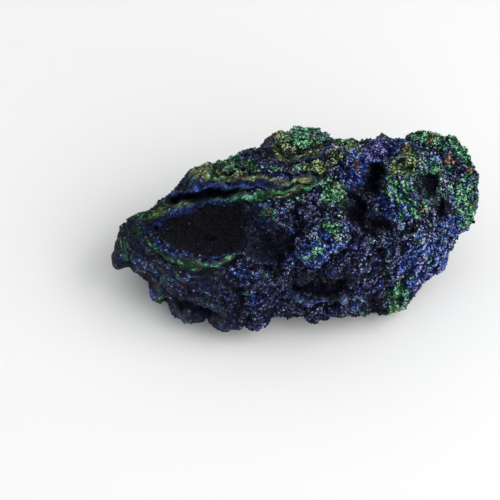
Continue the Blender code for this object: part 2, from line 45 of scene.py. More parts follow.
# Driving dimensions, in millimetres.
HALF_LENGTH = 44.0
INSET = 0.6  # the plain body lies this far inside the outline, for lumps and grains to stand on
TILT = radians(45)  # the open face looks up and forward at this angle
TURN = radians(-8)  # turns the finished form so that its length lies along X
LIFT = 14.0  # the middle of the open face is this far up the face from the floor
SQUARENESS = 2.4  # exponent of the cross sections: 2 is an ellipse
FLATNESS = 0.88  # height of a cross section over its depth
CRUST = 1.1  # thickness of the hollow's crystal lining
GAP = 0.35  # clear space between the lining and the rock
HOLLOW_DEPTH = 14.0
CLEARANCE = 9.0  # how far the space that is cut out for the hollow runs above its mouth
HOLLOW_SLANT = (0.1, -0.1)  # the hollow runs this far across and up for each unit of depth

# The body seen square on to its open face: place along it, lower edge, upper edge.
OUTLINE = (
    (-43, -8.5, -1), (-39, -10.7, 4), (-34, -14, 6.7), (-28, -19.4, 10.8), (-21, -21.8, 14.7),
    (-14, -22.4, 17.7), (-6, -21.3, 19.3), (4, -20.8, 20.5), (14, -20.8, 21.8), (22, -18.8, 22),
    (29, -15, 21), (35, -9.3, 20), (40, -2.8, 17.5), (43, 1.5, 14.5),
)
# Place along the body and height of its underside above the floor.
UNDERSIDE = (
    (-45, 10), (-38, 6.5), (-31, 2.5), (-24, 0), (-12, 0), (0, 0.6), (12, 0), (22, 0), (29, 1.5),
    (36, 6), (45, 17),
)
# Mouth of the large hollow, on the open face: across, up.
MOUTH = (
    (-34, 1), (-31, 2.5), (-25, 4), (-23, 5.5), (-19, 6), (-14, 5.5), (-12.5, 3.5), (-12.5, -3),
    (-14, -5), (-20, -6.5), (-25, -6), (-30, -3.5), (-33, -1),
)
HOLLOW_MIDDLE = (-22, -0.5)
MOUTH_LEVEL = 23.0  # the face stands out this far at the hollow's middle
MOUTH_SLOPE = (0.54, -0.53)  # and rises by this much for each millimetre across and up

# Layers of the stone that end in a lip: path on the open face from left to right, height of the lip,
# how far it hangs over, depth of the groove below it.
LEDGES = {
    "hollow rim": (
        ((-40, 2.5), (-35, 3.5), (-30, 5), (-26, 6.5), (-22, 7.5), (-18, 8), (-14, 7), (-11, 6)),
        1.2, 0.3, 0.3),
    "slit roof": (
        ((-32, 7.5), (-28, 9), (-24, 10), (-20, 10.8), (-15, 11), (-10, 11), (-5, 10), (0, 9.5)),
        1.6, 0.4, 0.8),
    "pale rim": (
        ((-27, 11.5), (-22, 12.5), (-17, 13), (-12, 13.2), (-8, 12.6), (-4, 11.3), (1, 11.6), (5, 13)),
        1.2, 0.7, 1.2),
    "shoulder": (
        ((-27, 13), (-22, 14.5), (-16, 15.8), (-11, 15.6), (-7, 14.2), (0, 14), (6, 15), (10, 16)),
        1.3, 0.6, 1.0),
    "crest": (((-20, 17.2), (-14, 18.6), (-8, 18.4), (-3, 16.8), (3, 17), (9, 18)), 0.9, 0.5, 0.9),
    "green roll": (
        ((-13, 7.5), (-10.5, 6.5), (-8.5, 7.5), (-5, 8.5), (-1, 8.5), (2.5, 9.7), (5.5, 11.5), (8, 12.5)),
        1.9, 0.5, 1.6),
    "hollow sill": (
        ((-36, -2), (-33, -5), (-29.5, -7.2), (-26, -8.4), (-22, -8.6), (-18, -7.8), (-14, -6)),
        0.8, 0.5, 0.7),
    "lower shelf": (((-4, -14.5), (1, -15), (7, -15.5), (13, -15), (18, -13.5)), 1.2, -0.8, 0.0),
    "base shelf": (((-2, -17.5), (4, -17), (10, -17.5), (16, -18)), 0.8, 0.4, 0.8),
    "flank shelf": (((-35, -11), (-29, -14.5), (-23, -17), (-16, -19)), 0.9, 0.7, 1.3),
}
# Narrow clefts on the open face: path, half width, depth.
CLEFTS = {
    "slit": (((-32, 6.6), (-28, 7.6), (-24, 8.3), (-20, 9), (-16, 9.6), (-13, 10)), 1.2, 6.0),
    "under ledge": (((-2, -12.6), (4, -13), (9, -13.2), (14, -12.3)), 2.1, 5.0),
    "recess": (((-9.5, 4.5), (-8, -1), (-7, -6), (-2, -9)), 2.0, 1.6),
    "flank crevice": (((-29, -15.5), (-25, -17.5), (-20, -20)), 0.8, 2.2),
    "boulder foot": (((22, 15), (18, 11), (14.5, 6), (15, 2), (21, 0.5)), 2.0, 3.0),
}
# Rounded swellings: side, across, up, half sizes across and up, turn in degrees, height, fullness of
# the edge.
LUMPS = (
    ("crest", 0.5, -4, 9, 7, 0, 3.6, 0.45), ("crest", 3, -5, 4.5, 4, 0, 1.6, 0.5),
    ("crest", -6, -2, 3.5, 4, 0, 0.9, 0.5), ("crest", 34, -2, 6.5, 6.5, 0, 3.2, 0.45),
    ("crest", 39, -1, 3, 4, 0, 1.5, 0.5), ("crest", -17, -4, 9, 5, 10, 1.6, 0.7),
    ("face", 5.5, -3, 6.6, 5.0, 20, 5.2, 0.5), ("face", 9.5, -0.5, 3.6, 3.2, 0, 1.2, 0.6),
    ("face", 32, 9, 13.5, 12.5, 0, 2.8, 0.8), ("face", 13, -8.5, 5, 3.4, 0, 2.2, 0.7),
    ("face", -7, 3, 3.6, 2.4, 0, 2.2, 0.6), ("face", 8, 8, 4.2, 3.4, 20, 2.4, 0.6),
    ("face", 15, 17, 4.2, 3.6, 0, 2.2, 0.7), ("face", 20.5, 20.5, 3.6, 2.4, 0, 1.8, 0.7),
    ("face", 26.5, 19, 3.6, 2, 0, 1.2, 0.7), ("face", 17.5, -3, 2.6, 2.4, 0, 1.6, 0.6),
    ("face", 25.5, -16.5, 4, 3.6, 0, 1.6, 0.6), ("face", -8, -13, 7, 4, 0, 1.6, 0.8),
    ("face", -33.5, -14.5, 2.4, 2.4, 0, 2.8, 0.5), ("face", -28, -20, 6.5, 3.2, -10, 3.0, 0.6),
    ("face", -17, -21.5, 4, 2.6, 0, 2.2, 0.6), ("face", -13.5, -24, 2.6, 2.4, 0, 2.8, 0.6),
    ("face", -9, -22, 4, 2.4, 15, 2.4, 0.6), ("face", 5.5, -21.5, 3.6, 2, 0, 2.2, 0.6),
    ("face", 35.5, -7, 2.6, 2.4, 0, 0.9, 0.6), ("face", -43, -7, 2.2, 2.6, 0, 1.8, 0.6),
    ("face", -24.5, 13.5, 4, 3, 15, 2.8, 0.6), ("face", 40, 8, 5, 7, 0, 0.6, 0.7),
    ("back", 20, 6, 11, 8, 15, 3.0, 0.8), ("back", -14, 2, 12, 7, -10, 2.6, 0.8),
    ("back", 3, -8, 7, 5, 0, 2.2, 0.7), ("back", 33, 2, 6, 6, 0, 2.4, 0.7),
    ("back", -31, -1, 6, 5, 0, 2.2, 0.7), ("heel", 26, 4, 6, 5, 0, 1.6, 0.7),
)
# Rounded hollows, given like the lumps.
PITS = (
    ("face", 19.2, 12.4, 2.8, 3.6, -25, 5.0, 0.9), ("face", 14, 5, 3.0, 4.6, 15, 4.5, 0.8),
    ("face", 20, 2, 3.6, 1.8, -20, 2.2, 0.9), ("face", -4.5, -3.5, 4.4, 4.6, 0, 4.4, 0.9),
    ("face", 31.5, 9, 3.4, 3.0, 20, 3.8, 0.9), ("face", 35.5, 4.6, 2.0, 3.0, 0, 3.4, 0.9),
    ("face", 19.5, -17.5, 3.2, 2.4, -40, 2.6, 0.9), ("face", -1.8, -21.4, 2.8, 2.4, 0, 3.0, 0.9),
    ("face", 27.5, 13.5, 1.4, 1.2, 0, 1.2, 0.9), ("face", -13, -14.8, 2.0, 1.4, 0, 1.4, 0.9),
    ("face", 1.5, 4.8, 2.0, 1.2, 15, 1.6, 0.9), ("back", 8, 3, 4.0, 3.0, 20, 3.0, 0.9),
    ("back", -24, 5, 3.0, 2.2, 0, 2.2, 0.9), ("back", 28, -6, 3.4, 2.4, 0, 2.4, 0.9),
    ("crest", 18, 3, 3, 2.4, 0, 2.0, 0.9),
)

# Roughness of the whole stone: size, height or depth, seed, and for the knobs how far their rows are
# bent.
WAVES = (9, 1.1, 3)
RIDGES = (6.5, 1.6, 7)
KNOBS = ((5.2, 0.9, 21, 0.6), (2.4, 0.62, 31, 0.5))
POCKS = ((4.6, 1.7, 81), (2.5, 1.0, 85))
FINEST_GRAIN = (1.05, 0.22, 41)
# Layers stepped back beside the pale rim, and thin laminae round the left end of the hollow: spacing,
# height.
STEPS = (1.7, 0.9)
LAMINAE = (1.5, 0.4)

# Directions across, up and out of each side of the stone. Up is counted from the body's middle on crest
# and heel.
SIDES = {
    "face": ((1, 0, 0), (0, sin(TILT), cos(TILT)), (0, -cos(TILT), sin(TILT))),
    "crest": ((1, 0, 0), (0, -cos(TILT), sin(TILT)), (0, sin(TILT), cos(TILT))),
    "back": ((1, 0, 0), (0, sin(TILT), cos(TILT)), (0, cos(TILT), -sin(TILT))),
    "heel": ((1, 0, 0), (0, -cos(TILT), sin(TILT)), (0, -sin(TILT), -cos(TILT))),
}


def smooth(low, high, value):
    """0 below low, 1 above high and an S curve between."""
    t = np.clip((value - low) / (high - low), 0, 1)
    return t * t * (3 - 2 * t)


def scatter(i, j, k, seed):
    """A fixed random number from 0 to 1 for each whole-number place i, j, k."""
    mixed = (i * 374761393 + j * 668265263 + k * 1442695041 + seed * 974634777) & 0xFFFFFFFF
    mixed = ((mixed ^ (mixed >> 13)) * 1274126177) & 0xFFFFFFFF
    return ((mixed ^ (mixed >> 16)) & 0xFFFFFF) / 0x1000000


def noise(points, size, seed=0):
    """Value noise from -1 to 1: random numbers on a cubic lattice of this size, blended between its
    corners."""
    places = points / size
    low = np.floor(places).astype(np.int64)
    part = places - low
    part = part * part * (3 - 2 * part)
    total = 0
    for corner in np.ndindex(2, 2, 2):
        share = np.prod(np.where(corner, part, 1 - part), axis=-1)
        total = total + share * scatter(*np.moveaxis(low + corner, -1, 0), seed)
    return 2 * total - 1


def layered_noise(points, size, layers, seed=0):
    """Noise added to itself at half the size and half the height for each further layer."""
    return sum(noise(points, size / 2**n, seed + n) / 2**n for n in range(layers))


def cells(points, size, seed=0):
    """Cellular noise with one random centre in each cube of this size: distance to the nearest centre
    and the further distance to the next, both in cubes, and a random number and direction for the
    nearest."""
    places = points / size
    low = np.floor(places).astype(np.int64)
    nearest = np.full(places.shape[:-1], 9.0)
    second = nearest.copy()
    number = np.zeros_like(nearest)
    tilt = np.zeros_like(places)
    for step in np.ndindex(3, 3, 3):
        cube = np.moveaxis(low + np.array(step) - 1, -1, 0)
        offset = np.stack([cube[axis] + scatter(*cube, seed + axis) for axis in range(3)], -1) - places
        distance = np.linalg.norm(offset, axis=-1)
        closer = distance < nearest
        second = np.where(closer, nearest, np.minimum(second, distance))
        number = np.where(closer, scatter(*cube, seed + 3), number)
        tilt = np.where(closer[..., None], offset, tilt)
        nearest = np.where(closer, distance, nearest)
    return nearest, second - nearest, number, tilt


def bumps(points, size, seed=0):
    """Rounded grains that touch each other in narrow cracks: domes, 1 - distance^2, less a sharp dip on
    the seams."""
    nearest, gap, number, _ = cells(points, size, seed)
    return (1 - 1.3 * nearest**2) * (0.5 + 0.5 * number) - 0.5 * np.exp(-gap / 0.09)


def curve(corners, steps=6):
    """Points along a smooth line through the corners: a Catmull-Rom cubic between each pair."""
    p = np.array(corners, float)
    p = np.concatenate([[2 * p[0] - p[1]], p, [2 * p[-1] - p[-2]]])
    t = (np.arange(steps) / steps)[:, None]
    spans = []
    for a, b, c, d in zip(p, p[1:], p[2:], p[3:]):
        bent = (2 * a - 5 * b + 4 * c - d) * t**2 + (3 * b - a - 3 * c + d) * t**3
        spans.append((2 * b + (c - a) * t + bent) / 2)
    return np.concatenate([*spans, p[-2:-1]])


def table_value(x, rows, column):
    """The table's column at x, on a cubic between neighbouring rows."""
    table = np.array(rows, float)
    xs, ys = table[:, 0], table[:, column]
    slopes = np.gradient(ys, xs)
    x = np.clip(x, xs[0], xs[-1])
    i = np.clip(np.searchsorted(xs, x) - 1, 0, len(xs) - 2)
    width = xs[i + 1] - xs[i]
    t = (x - xs[i]) / width
    ends = (1 + 2 * t) * (1 - t) ** 2 * ys[i] + t * t * (3 - 2 * t) * ys[i + 1]
    return ends + width * t * (1 - t) * ((1 - t) * slopes[i] - t * slopes[i + 1])


def from_span(across, up, start, run):
    """The share of a straight span at which it comes nearest to each place, held between 0 and 1, and the
    way from there to the place."""
    t = np.clip(((across - start[0]) * run[0] + (up - start[1]) * run[1]) / (run @ run), 0, 1)
    return t, across - start[0] - t * run[0], up - start[1] - t * run[1]


def beside_path(across, up, path):
    """Distance to the line through the path, plus above it and minus below, and the share of its
    length, 0 to 1."""
    line = curve(path)
    best = np.full(np.shape(across), 1e9)
    share = np.zeros(np.shape(across))
    for k, (a, b) in enumerate(zip(line, line[1:])):
        run = b - a
        t, dx, dy = from_span(across, up, a, run)
        signed = np.hypot(dx, dy) * np.where(run[0] * dy - run[1] * dx < 0, -1, 1)
        closer = np.abs(signed) < np.abs(best)
        best = np.where(closer, signed, best)
        share = np.where(closer, (k + t) / (len(line) - 1), share)
    return best, share


def mouth_distance(across, up):
    """Distance to the hollow's mouth outline, plus inside it and minus outside."""
    loop = curve([*MOUTH, MOUTH[0]], 4)
    best = np.full(np.shape(across), 1e9)
    inside = np.zeros(np.shape(across), bool)
    for a, b in zip(loop, loop[1:]):
        run = b - a
        best = np.minimum(best, np.hypot(*from_span(across, up, a, run)[1:]))
        crossing = a[0] + run[0] * (up - a[1]) / (run[1] if run[1] else 1e-9)
        inside ^= ((a[1] > up) != (b[1] > up)) & (across < crossing)
    return np.where(inside, best, -best)


def body(u, v):
    """Plain body: u runs from the left tip, 0, to the right tip, pi, and v goes round. A cross section
    is a superellipse whose edges, seen square on to the open face, meet the outline. Returns points,
    outward directions and the middle of each section measured along the crest's up direction."""
    x = -HALF_LENGTH * np.cos(u)
    rows = np.array(OUTLINE, float)
    rounding = np.sqrt(1 - (rows[:, 0] / HALF_LENGTH) ** 2)
    half_heights = ((rows[:, 2] - rows[:, 1]) / 2 - INSET) / rounding
    reaches = np.stack([rows[:, 0], half_heights, (rows[:, 2] + rows[:, 1]) / 2], 1)
    reach = table_value(x, reaches, 1) * np.sin(u)
    dual = SQUARENESS / (SQUARENESS - 1)
    depth = reach / (sin(TILT) ** dual + (FLATNESS * cos(TILT)) ** dual) ** (1 / dual)
    middle_z = table_value(x, UNDERSIDE, 1) + FLATNESS * depth
    middle_y = (table_value(x, reaches, 2) + LIFT - middle_z * cos(TILT)) / sin(TILT)
    round_y = np.sign(np.cos(v)) * np.abs(np.cos(v)) ** (2 / SQUARENESS)
    round_z = np.sign(np.sin(v)) * np.abs(np.sin(v)) ** (2 / SQUARENESS)
    points = np.stack([x, middle_y + depth * round_y, middle_z + FLATNESS * depth * round_z], -1)
    power = SQUARENESS - 1
    out = np.stack([1.2 * np.sign(x) * np.abs(x / HALF_LENGTH) ** 6,
                    np.sign(round_y) * np.abs(round_y) ** power,
                    np.sign(round_z) * np.abs(round_z) ** power / FLATNESS], -1)
    out /= np.linalg.norm(out, axis=-1, keepdims=True)
    return points, out, middle_z * sin(TILT) - middle_y * cos(TILT)


def seen_from(side, points, out, middle):
    """Across, up and how squarely the surface faces this side, for points on the body."""
    across, up, outward = (np.array(direction) for direction in SIDES[side])
    return points @ across, points @ up - (LIFT if side in ("face", "back") else middle), out @ outward


def off_middle(across, up, at_across, at_up, half_across, half_up, turn):
    """How far each place lies from the middle of a turned ellipse: 1 on its edge."""
    dx, dy = across - at_across, up - at_up
    a = radians(turn)
    return np.hypot((dx * cos(a) + dy * sin(a)) / half_across, (dy * cos(a) - dx * sin(a)) / half_up)


def swelling(view, ellipse, fullness):
    """A dome of height 1 over an ellipse: (1 - q^2)^fullness, q being 1 on its edge, on surfaces facing
    this side."""
    across, up, facing = view
    q = off_middle(across, up, *ellipse)
    return np.maximum(1 - q * q, 0) ** fullness * smooth(-0.2, 0.1, facing)


def domes(points, views):
    """Heights of the lumps less the depths of the pits: along the outward direction, and straight out
    of the open face, into which its pits are sunk. Noise makes the pits uneven."""
    rise = np.zeros(np.shape(points)[:-1])
    level = np.zeros(np.shape(points)[:-1])
    for side, *ellipse, height, fullness in LUMPS:
        rise += height * swelling(views[side], ellipse, fullness)
    for side, *ellipse, depth, fullness in PITS:
        pit = depth * swelling(views[side], ellipse, fullness) * (1 + 0.35 * noise(points, 2.4, 91))
        if side == "face":
            level -= pit
        else:
            rise -= pit
    return rise, level


def ledges_and_clefts(points, view):
    """How far the ledges and clefts move the open face out, and how far the lips hang down. A lip falls
    off sharply below its path and gently above it, 1 / (1 + d^2), with a groove below. A cleft is 1 /
    (1 + d^4) deep."""
    across, up, facing = view
    front = smooth(-0.1, 0.12, facing)
    level = np.zeros(np.shape(across))
    droop = np.zeros(np.shape(across))
    for path, height, overhang, groove in LEDGES.values():
        beside, share = beside_path(across, up, path)
        ends = smooth(0, 0.1, share) * smooth(0, 0.1, 1 - share) * front
        ends = ends * (0.8 + 0.4 * noise(points, 3.5, 61))
        lip = np.where(beside > 0, 1 / (1 + (beside / 1.5) ** 2), np.exp(-((beside / 0.45) ** 2)))
        level += ends * (height * lip - groove * np.exp(-(((beside + 1.1) / 0.6) ** 2)))
        droop += ends * overhang * np.exp(-((beside / 0.9) ** 2))
    for path, half_width, depth in CLEFTS.values():
        beside, share = beside_path(across, up, path)
        ends = smooth(0, 0.15, share) * smooth(0, 0.15, 1 - share) * front
        ends = ends * (1 + 0.4 * noise(points, 2.8, 92))
        level -= ends * depth / (1 + (beside / half_width) ** 4)
    return level, droop


def flank_laminae(points, view):
    """Where the flank left of the hollow is laminated, 0 to 1, and a triangle wave across its laminae,
    which run parallel to the hollow's mouth."""
    across, up, facing = view
    spacing, _ = LAMINAE
    rings = -mouth_distance(across, up) + 0.9 * noise(points, 5, 71)
    share = smooth(9, 18, -across - 0.2 * np.abs(up)) * smooth(0.8, 2.5, rings)
    share = share * smooth(-0.1, 0.12, facing)
    return share, np.abs((rings / spacing) % 1 - 0.5) * 2 - 0.5


def stepped_layers(points, view):
    """Where the stone is stepped beside the pale rim, 0 to 1, and the steps, 0 to 1 in each layer."""
    across, up, facing = view
    spacing, _ = STEPS
    beside, _ = beside_path(across, up, LEDGES["pale rim"][0])
    share = smooth(-34, -27, across) * smooth(-13, -4, -across) * smooth(-7, -4.5, -np.abs(beside - 1.5))
    steps = smooth(0.1, 0.7, (beside + 0.8 * noise(points, 4, 74)) / spacing % 1)
    return share * smooth(-0.1, 0.12, facing), steps


def roughness(points, wobble):
    """Height of the stone's roughness: slow waves, sharp ridges from folded noise, knobs with cracks
    between them, and pocks sunk in about two fifths of their cells."""
    size, height, seed = WAVES
    rough = height * layered_noise(points, size, 2, seed)
    size, height, seed = RIDGES
    rough = rough + 0.5 - height * np.abs(layered_noise(points + wobble, size, 3, seed))
    for size, height, seed, bend in KNOBS:
        rough += height * (bumps(points + bend * wobble, size, seed) - 0.15)
    for size, depth, seed in POCKS:
        nearest, _, number, _ = cells(points + 1.6 * wobble, size, seed)
        rough -= depth * smooth(0.55, 0.7, number) * np.maximum(1 - nearest / 0.42, 0) ** 0.6
    return rough


def surface(u, v):
    """The stone's surface, in millimetres, before its hollow is cut. Lumps and roughness stand out of
    the plain body along its outward direction. Pits, ledges and clefts of the open face are drawn on it
    and go straight in or out. Returns points, outward directions and the place on the face."""
    points, out, middle = body(u, v)
    wobble = np.stack([layered_noise(points, 6.5, 3, seed) + 0.35 * noise(points, 1.7, seed + 1)
                       for seed in (11, 16, 21)], -1)
    views = {side: seen_from(side, points + wobble, out, middle) for side in SIDES}
    rise, level = domes(points, views)
    moved, droop = ledges_and_clefts(points, views["face"])
    laminated, wave = flank_laminae(points, views["face"])
    stepped, steps = stepped_layers(points, views["face"])
    level += moved + STEPS[1] * stepped * steps
    rise += LAMINAE[1] * laminated * wave
    calm = smooth(0, 0.35, np.sin(u)) * (1 - 0.45 * np.maximum(laminated, stepped))
    size, height, seed = FINEST_GRAIN
    rise += calm * roughness(points, wobble) + height * bumps(points, size, seed)
    _, up_axis, outward = (np.array(direction) for direction in SIDES["face"])
    points = points + out * rise[..., None] + outward * level[..., None] - up_axis * droop[..., None]
    return points, out, views["face"]


def hollow(around, below, grow=0.0):
    """The large hollow's wall, as places across and up the face and a depth under it. Around is the
    angle round the mouth. Below runs from -1, well clear of the face, by 0, at the mouth, to 1, at the
    bottom. The mouth's outline is scaled by an ellipse's profile that bulges under the lip: sqrt(1 -
    b^2)^0.8 * (1 + 0.2 sin(pi b))."""
    loop = curve([*MOUTH, MOUTH[0]], 4)[:-1] - HOLLOW_MIDDLE
    angles = np.arctan2(loop[:, 1], loop[:, 0])
    radius = np.interp(around, angles, np.hypot(loop[:, 0], loop[:, 1]), period=2 * pi) + grow
    inside = np.clip(below, 0, 1)
    width = np.sqrt(1 - inside**2) ** 0.8 * (1 + 0.2 * np.sin(pi * inside))
    width = width * np.sqrt(1 - np.clip(-below, 0, 1) ** 8)
    depth = inside * (HOLLOW_DEPTH + grow) + np.minimum(below, 0) * CLEARANCE
    across = HOLLOW_MIDDLE[0] + np.cos(around) * radius * width + HOLLOW_SLANT[0] * inside * HOLLOW_DEPTH
    up = HOLLOW_MIDDLE[1] + np.sin(around) * radius * width + HOLLOW_SLANT[1] * inside * HOLLOW_DEPTH
    return across, up, depth


def mouth_level(across, up):
    """How far the face stands out near the hollow: a plane."""
    slope_across, slope_up = MOUTH_SLOPE
    return MOUTH_LEVEL + slope_across * (across - HOLLOW_MIDDLE[0]) + slope_up * (up - HOLLOW_MIDDLE[1])


def on_face(across, up, level):
    """The point this far across, up and out of the open face."""
    axes = [np.array(direction) for direction in SIDES["face"]]
    return sum(np.asarray(part)[..., None] * axis for part, axis in zip((across, up + LIFT, level), axes))


def facets(points, size, seed=0):
    """Heights of flat crystal faces: each cell of the cellular noise is a plane tilted its own way, 0
    to about 1."""
    _, _, number, offset = cells(points, size, seed)
    lean = 2 * pi * number
    tilt = np.stack([np.cos(lean), np.sin(lean), np.cos(3 * lean)], -1)
    return np.clip(0.5 + 0.7 * (offset * tilt).sum(-1), 0, 1)


# Divisions of the meshes and counts of crystals.
SKIN_RINGS, SKIN_SEGMENTS = 300, 320
INNER_RINGS, LIP_RINGS, OUTER_RINGS = 66, 11, 33  # of the lining: its crystal side, its lip and its back
LINING_RINGS, LINING_SEGMENTS = INNER_RINGS + LIP_RINGS + OUTER_RINGS, 150
DRUSE_COUNTS = (8000, 20000, 20000, 20000, 20000)  # crystals in each piece; the first are the glossy ones
LINING_CRYSTALS = 8000

# Crystals, in millimetres.
GRAIN = (0.26, 0.7)  # smallest and largest crystal of the druse
LINING_GRAIN = (0.35, 0.75)
AIM_DEPTH = 5.0  # the hollow's crystals point at its middle, this far below its mouth
CLUMP = 1.35  # size of the clumps that crystals of one mineral grow in
CLUMP_RISE = 0.45  # height of a clump over the cracks between clumps
FACET = 0.38  # size of the smallest crystal faces, which the materials draw on every piece
FINE_LAMINA = 0.5  # spacing of the flank's thin laminae
CORNERS = 6  # of a crystal
# A crystal, in shares of its size: its radius, the depth of its foot, its lowest and highest tip, and how
# far its corners are moved. Then its narrowest and widest top, in shares of its radius, and its lean.
PRISM_RADIUS, FOOT, TIPS, JITTER = 0.62, 0.3, (0.2, 0.7), 0.13
TOPS, LEAN = (0.15, 0.95), 0.5

SKIN_EDGE = 0.25  # the skin ends this far outside the hollow's mouth, over the edge of the lining
BARE_BELOW = 0.3  # no crystals grow nearer to the floor than this
FRONT = 0.1  # what faces the open side by more than this lies on the open face
NEAREST_POINTS = 12  # points of the skin that set the height of the lining's rim, at each angle
SEAM_SHADE_PASSES = (5, 22)  # of blurring, which tells narrow and wide seams, where shade is painted
# blurring for the painted shade in pits
PIT_SHADE_PASSES = 60
GLINT_STREAK_SCALE = 1000  # streaks of painted highlights to a metre
GLINTS_ANYWHERE = 0.08  # share of the pale faces, painted glints, that gather outside their patches
CLUMP_SHARE = 0.8  # of the crystals that share their clump's mineral
GLOSSY_SHARE, LINING_GLOSSY_SHARE = 0.4, 0.3  # of the crystals of the druse and of the lining
LIT_SHARE = 0.05  # of the hollow's crystals that are painted light, as glints

# Paths that more than one band follows: the blue rim above the hollow, the belt below the lower shelf, and
# the groove above the green roll.
AZURE_RIM = ((-34, 1.8), (-30.5, 3.4), (-26, 4.6), (-23, 6.1), (-20, 6.7), (-14.5, 6.6))
LOWER_BELT = ((-2, -16.2), (5, -16.8), (13, -16.2))
ROLL_GROOVE = ((-10, 12.2), (-4, 10.2), (2, 10.6), (7, 13.6))
# Bands on the open face, where a mineral, a finish or painted shade shows: path, half width, strength.
BANDS = {
    "green": (
        (LEDGES["hollow rim"][0], 0.6, 0.85), (LEDGES["green roll"][0], 0.95, 1.2),
        (LEDGES["hollow sill"][0], 0.6, 0.95), (((-20, 9), (-16, 9.6), (-12, 8.6)), 0.5, 0.7),
        (((-26.5, 12.3), (-24, 13.8), (-19, 15.6), (-15, 16.4), (-11.5, 15.8), (-9.8, 14.8)), 1.0, 1.1),
        (((-26, 12), (-21, 13.4), (-17, 13.6), (-13, 14.2)), 0.7, 0.95),
        (((5, 11.6), (8, 12.8), (9.5, 12.6)), 0.7, 1.0),
    ),
    "olive": (
        (LEDGES["pale rim"][0], 0.32, 0.9), (LEDGES["shoulder"][0], 0.35, 0.55),
        (((-6.5, 7.6), (-4, 7.4), (-1, 7.8), (1, 8.5)), 0.4, 0.85),
        (((-17, 8.3), (-15, 9.2), (-13, 9.7), (-10.5, 9.4)), 0.22, 0.8),
        (((-13, 19.2), (-8, 19.4), (-3.4, 18.2), (0.2, 17.7), (4, 18.2), (7.5, 19)), 0.5, 0.95),
        (((1.5, 14), (4, 14.6), (8, 15.4), (12.5, 18)), 0.8, 0.95),
        (((-26, 12.4), (-22, 13.2), (-17, 14), (-12, 14.4)), 0.4, 0.8),
        (((33, 20.5), (37, 19), (41, 16.5)), 0.4, 1.0), (((-35, 3.8), (-30, 5.8), (-26, 7.2)), 0.5, 0.8),
    ),
    "azure": (
        (AZURE_RIM, 1.0, 1.5), (LEDGES["slit roof"][0], 0.9, 1.2),
        (((-34, -2.4), (-31, -4.6), (-27.5, -6.4), (-23, -7.4)), 0.5, 1.0), (LOWER_BELT, 0.4, 0.7),
        (((20, 21.5), (16.5, 18), (12, 14), (9, 11)), 1.4, 0.6),
    ),
    # Lips with few crystals on them.
    "smooth": (
        (LEDGES["slit roof"][0], 1.2, 1.3), (LEDGES["pale rim"][0], 0.7, 1.3),
        (LEDGES["green roll"][0], 1.2, 1.1), (LEDGES["hollow rim"][0], 1.3, 1.2),
        (LEDGES["hollow sill"][0], 1.1, 1.2), (LEDGES["crest"][0], 0.6, 1.0), (AZURE_RIM, 1.3, 1.6),
        (CLEFTS["slit"][0], 1.3, 1.4), (ROLL_GROOVE, 0.8, 1.0), (LOWER_BELT, 0.6, 1.0),
    ),
    # Painted shade along clefts, grooves and creases.
    "dark": (
        (CLEFTS["slit"][0], 1.3, 1.6), (CLEFTS["under ledge"][0], 2.8, 1.2),
        (CLEFTS["recess"][0], 3.2, 0.9), (CLEFTS["boulder foot"][0], 2.2, 0.9),
        (CLEFTS["flank crevice"][0], 1.0, 1.1), (((-11.2, 7), (-10.8, 1), (-11.4, -5)), 2.2, 1.15),
        (((-4, 6.4), (0, 6.6), (3, 7.6)), 0.5, 0.9), (ROLL_GROOVE, 0.6, 0.9),
        (((-23, 15.4), (-18, 17), (-13, 18.7), (-9.5, 19.3)), 0.6, 0.6),
        (((-22, 14.9), (-18, 14.6), (-15, 14.8)), 0.4, 0.7),
        (((-9, 13.6), (-4, 12.6), (1, 13), (5, 13.6)), 0.4, 0.6),
    ),
}
LEDGE_ZONE = (-10, 13, 22, 6.5, 3, 1.0)
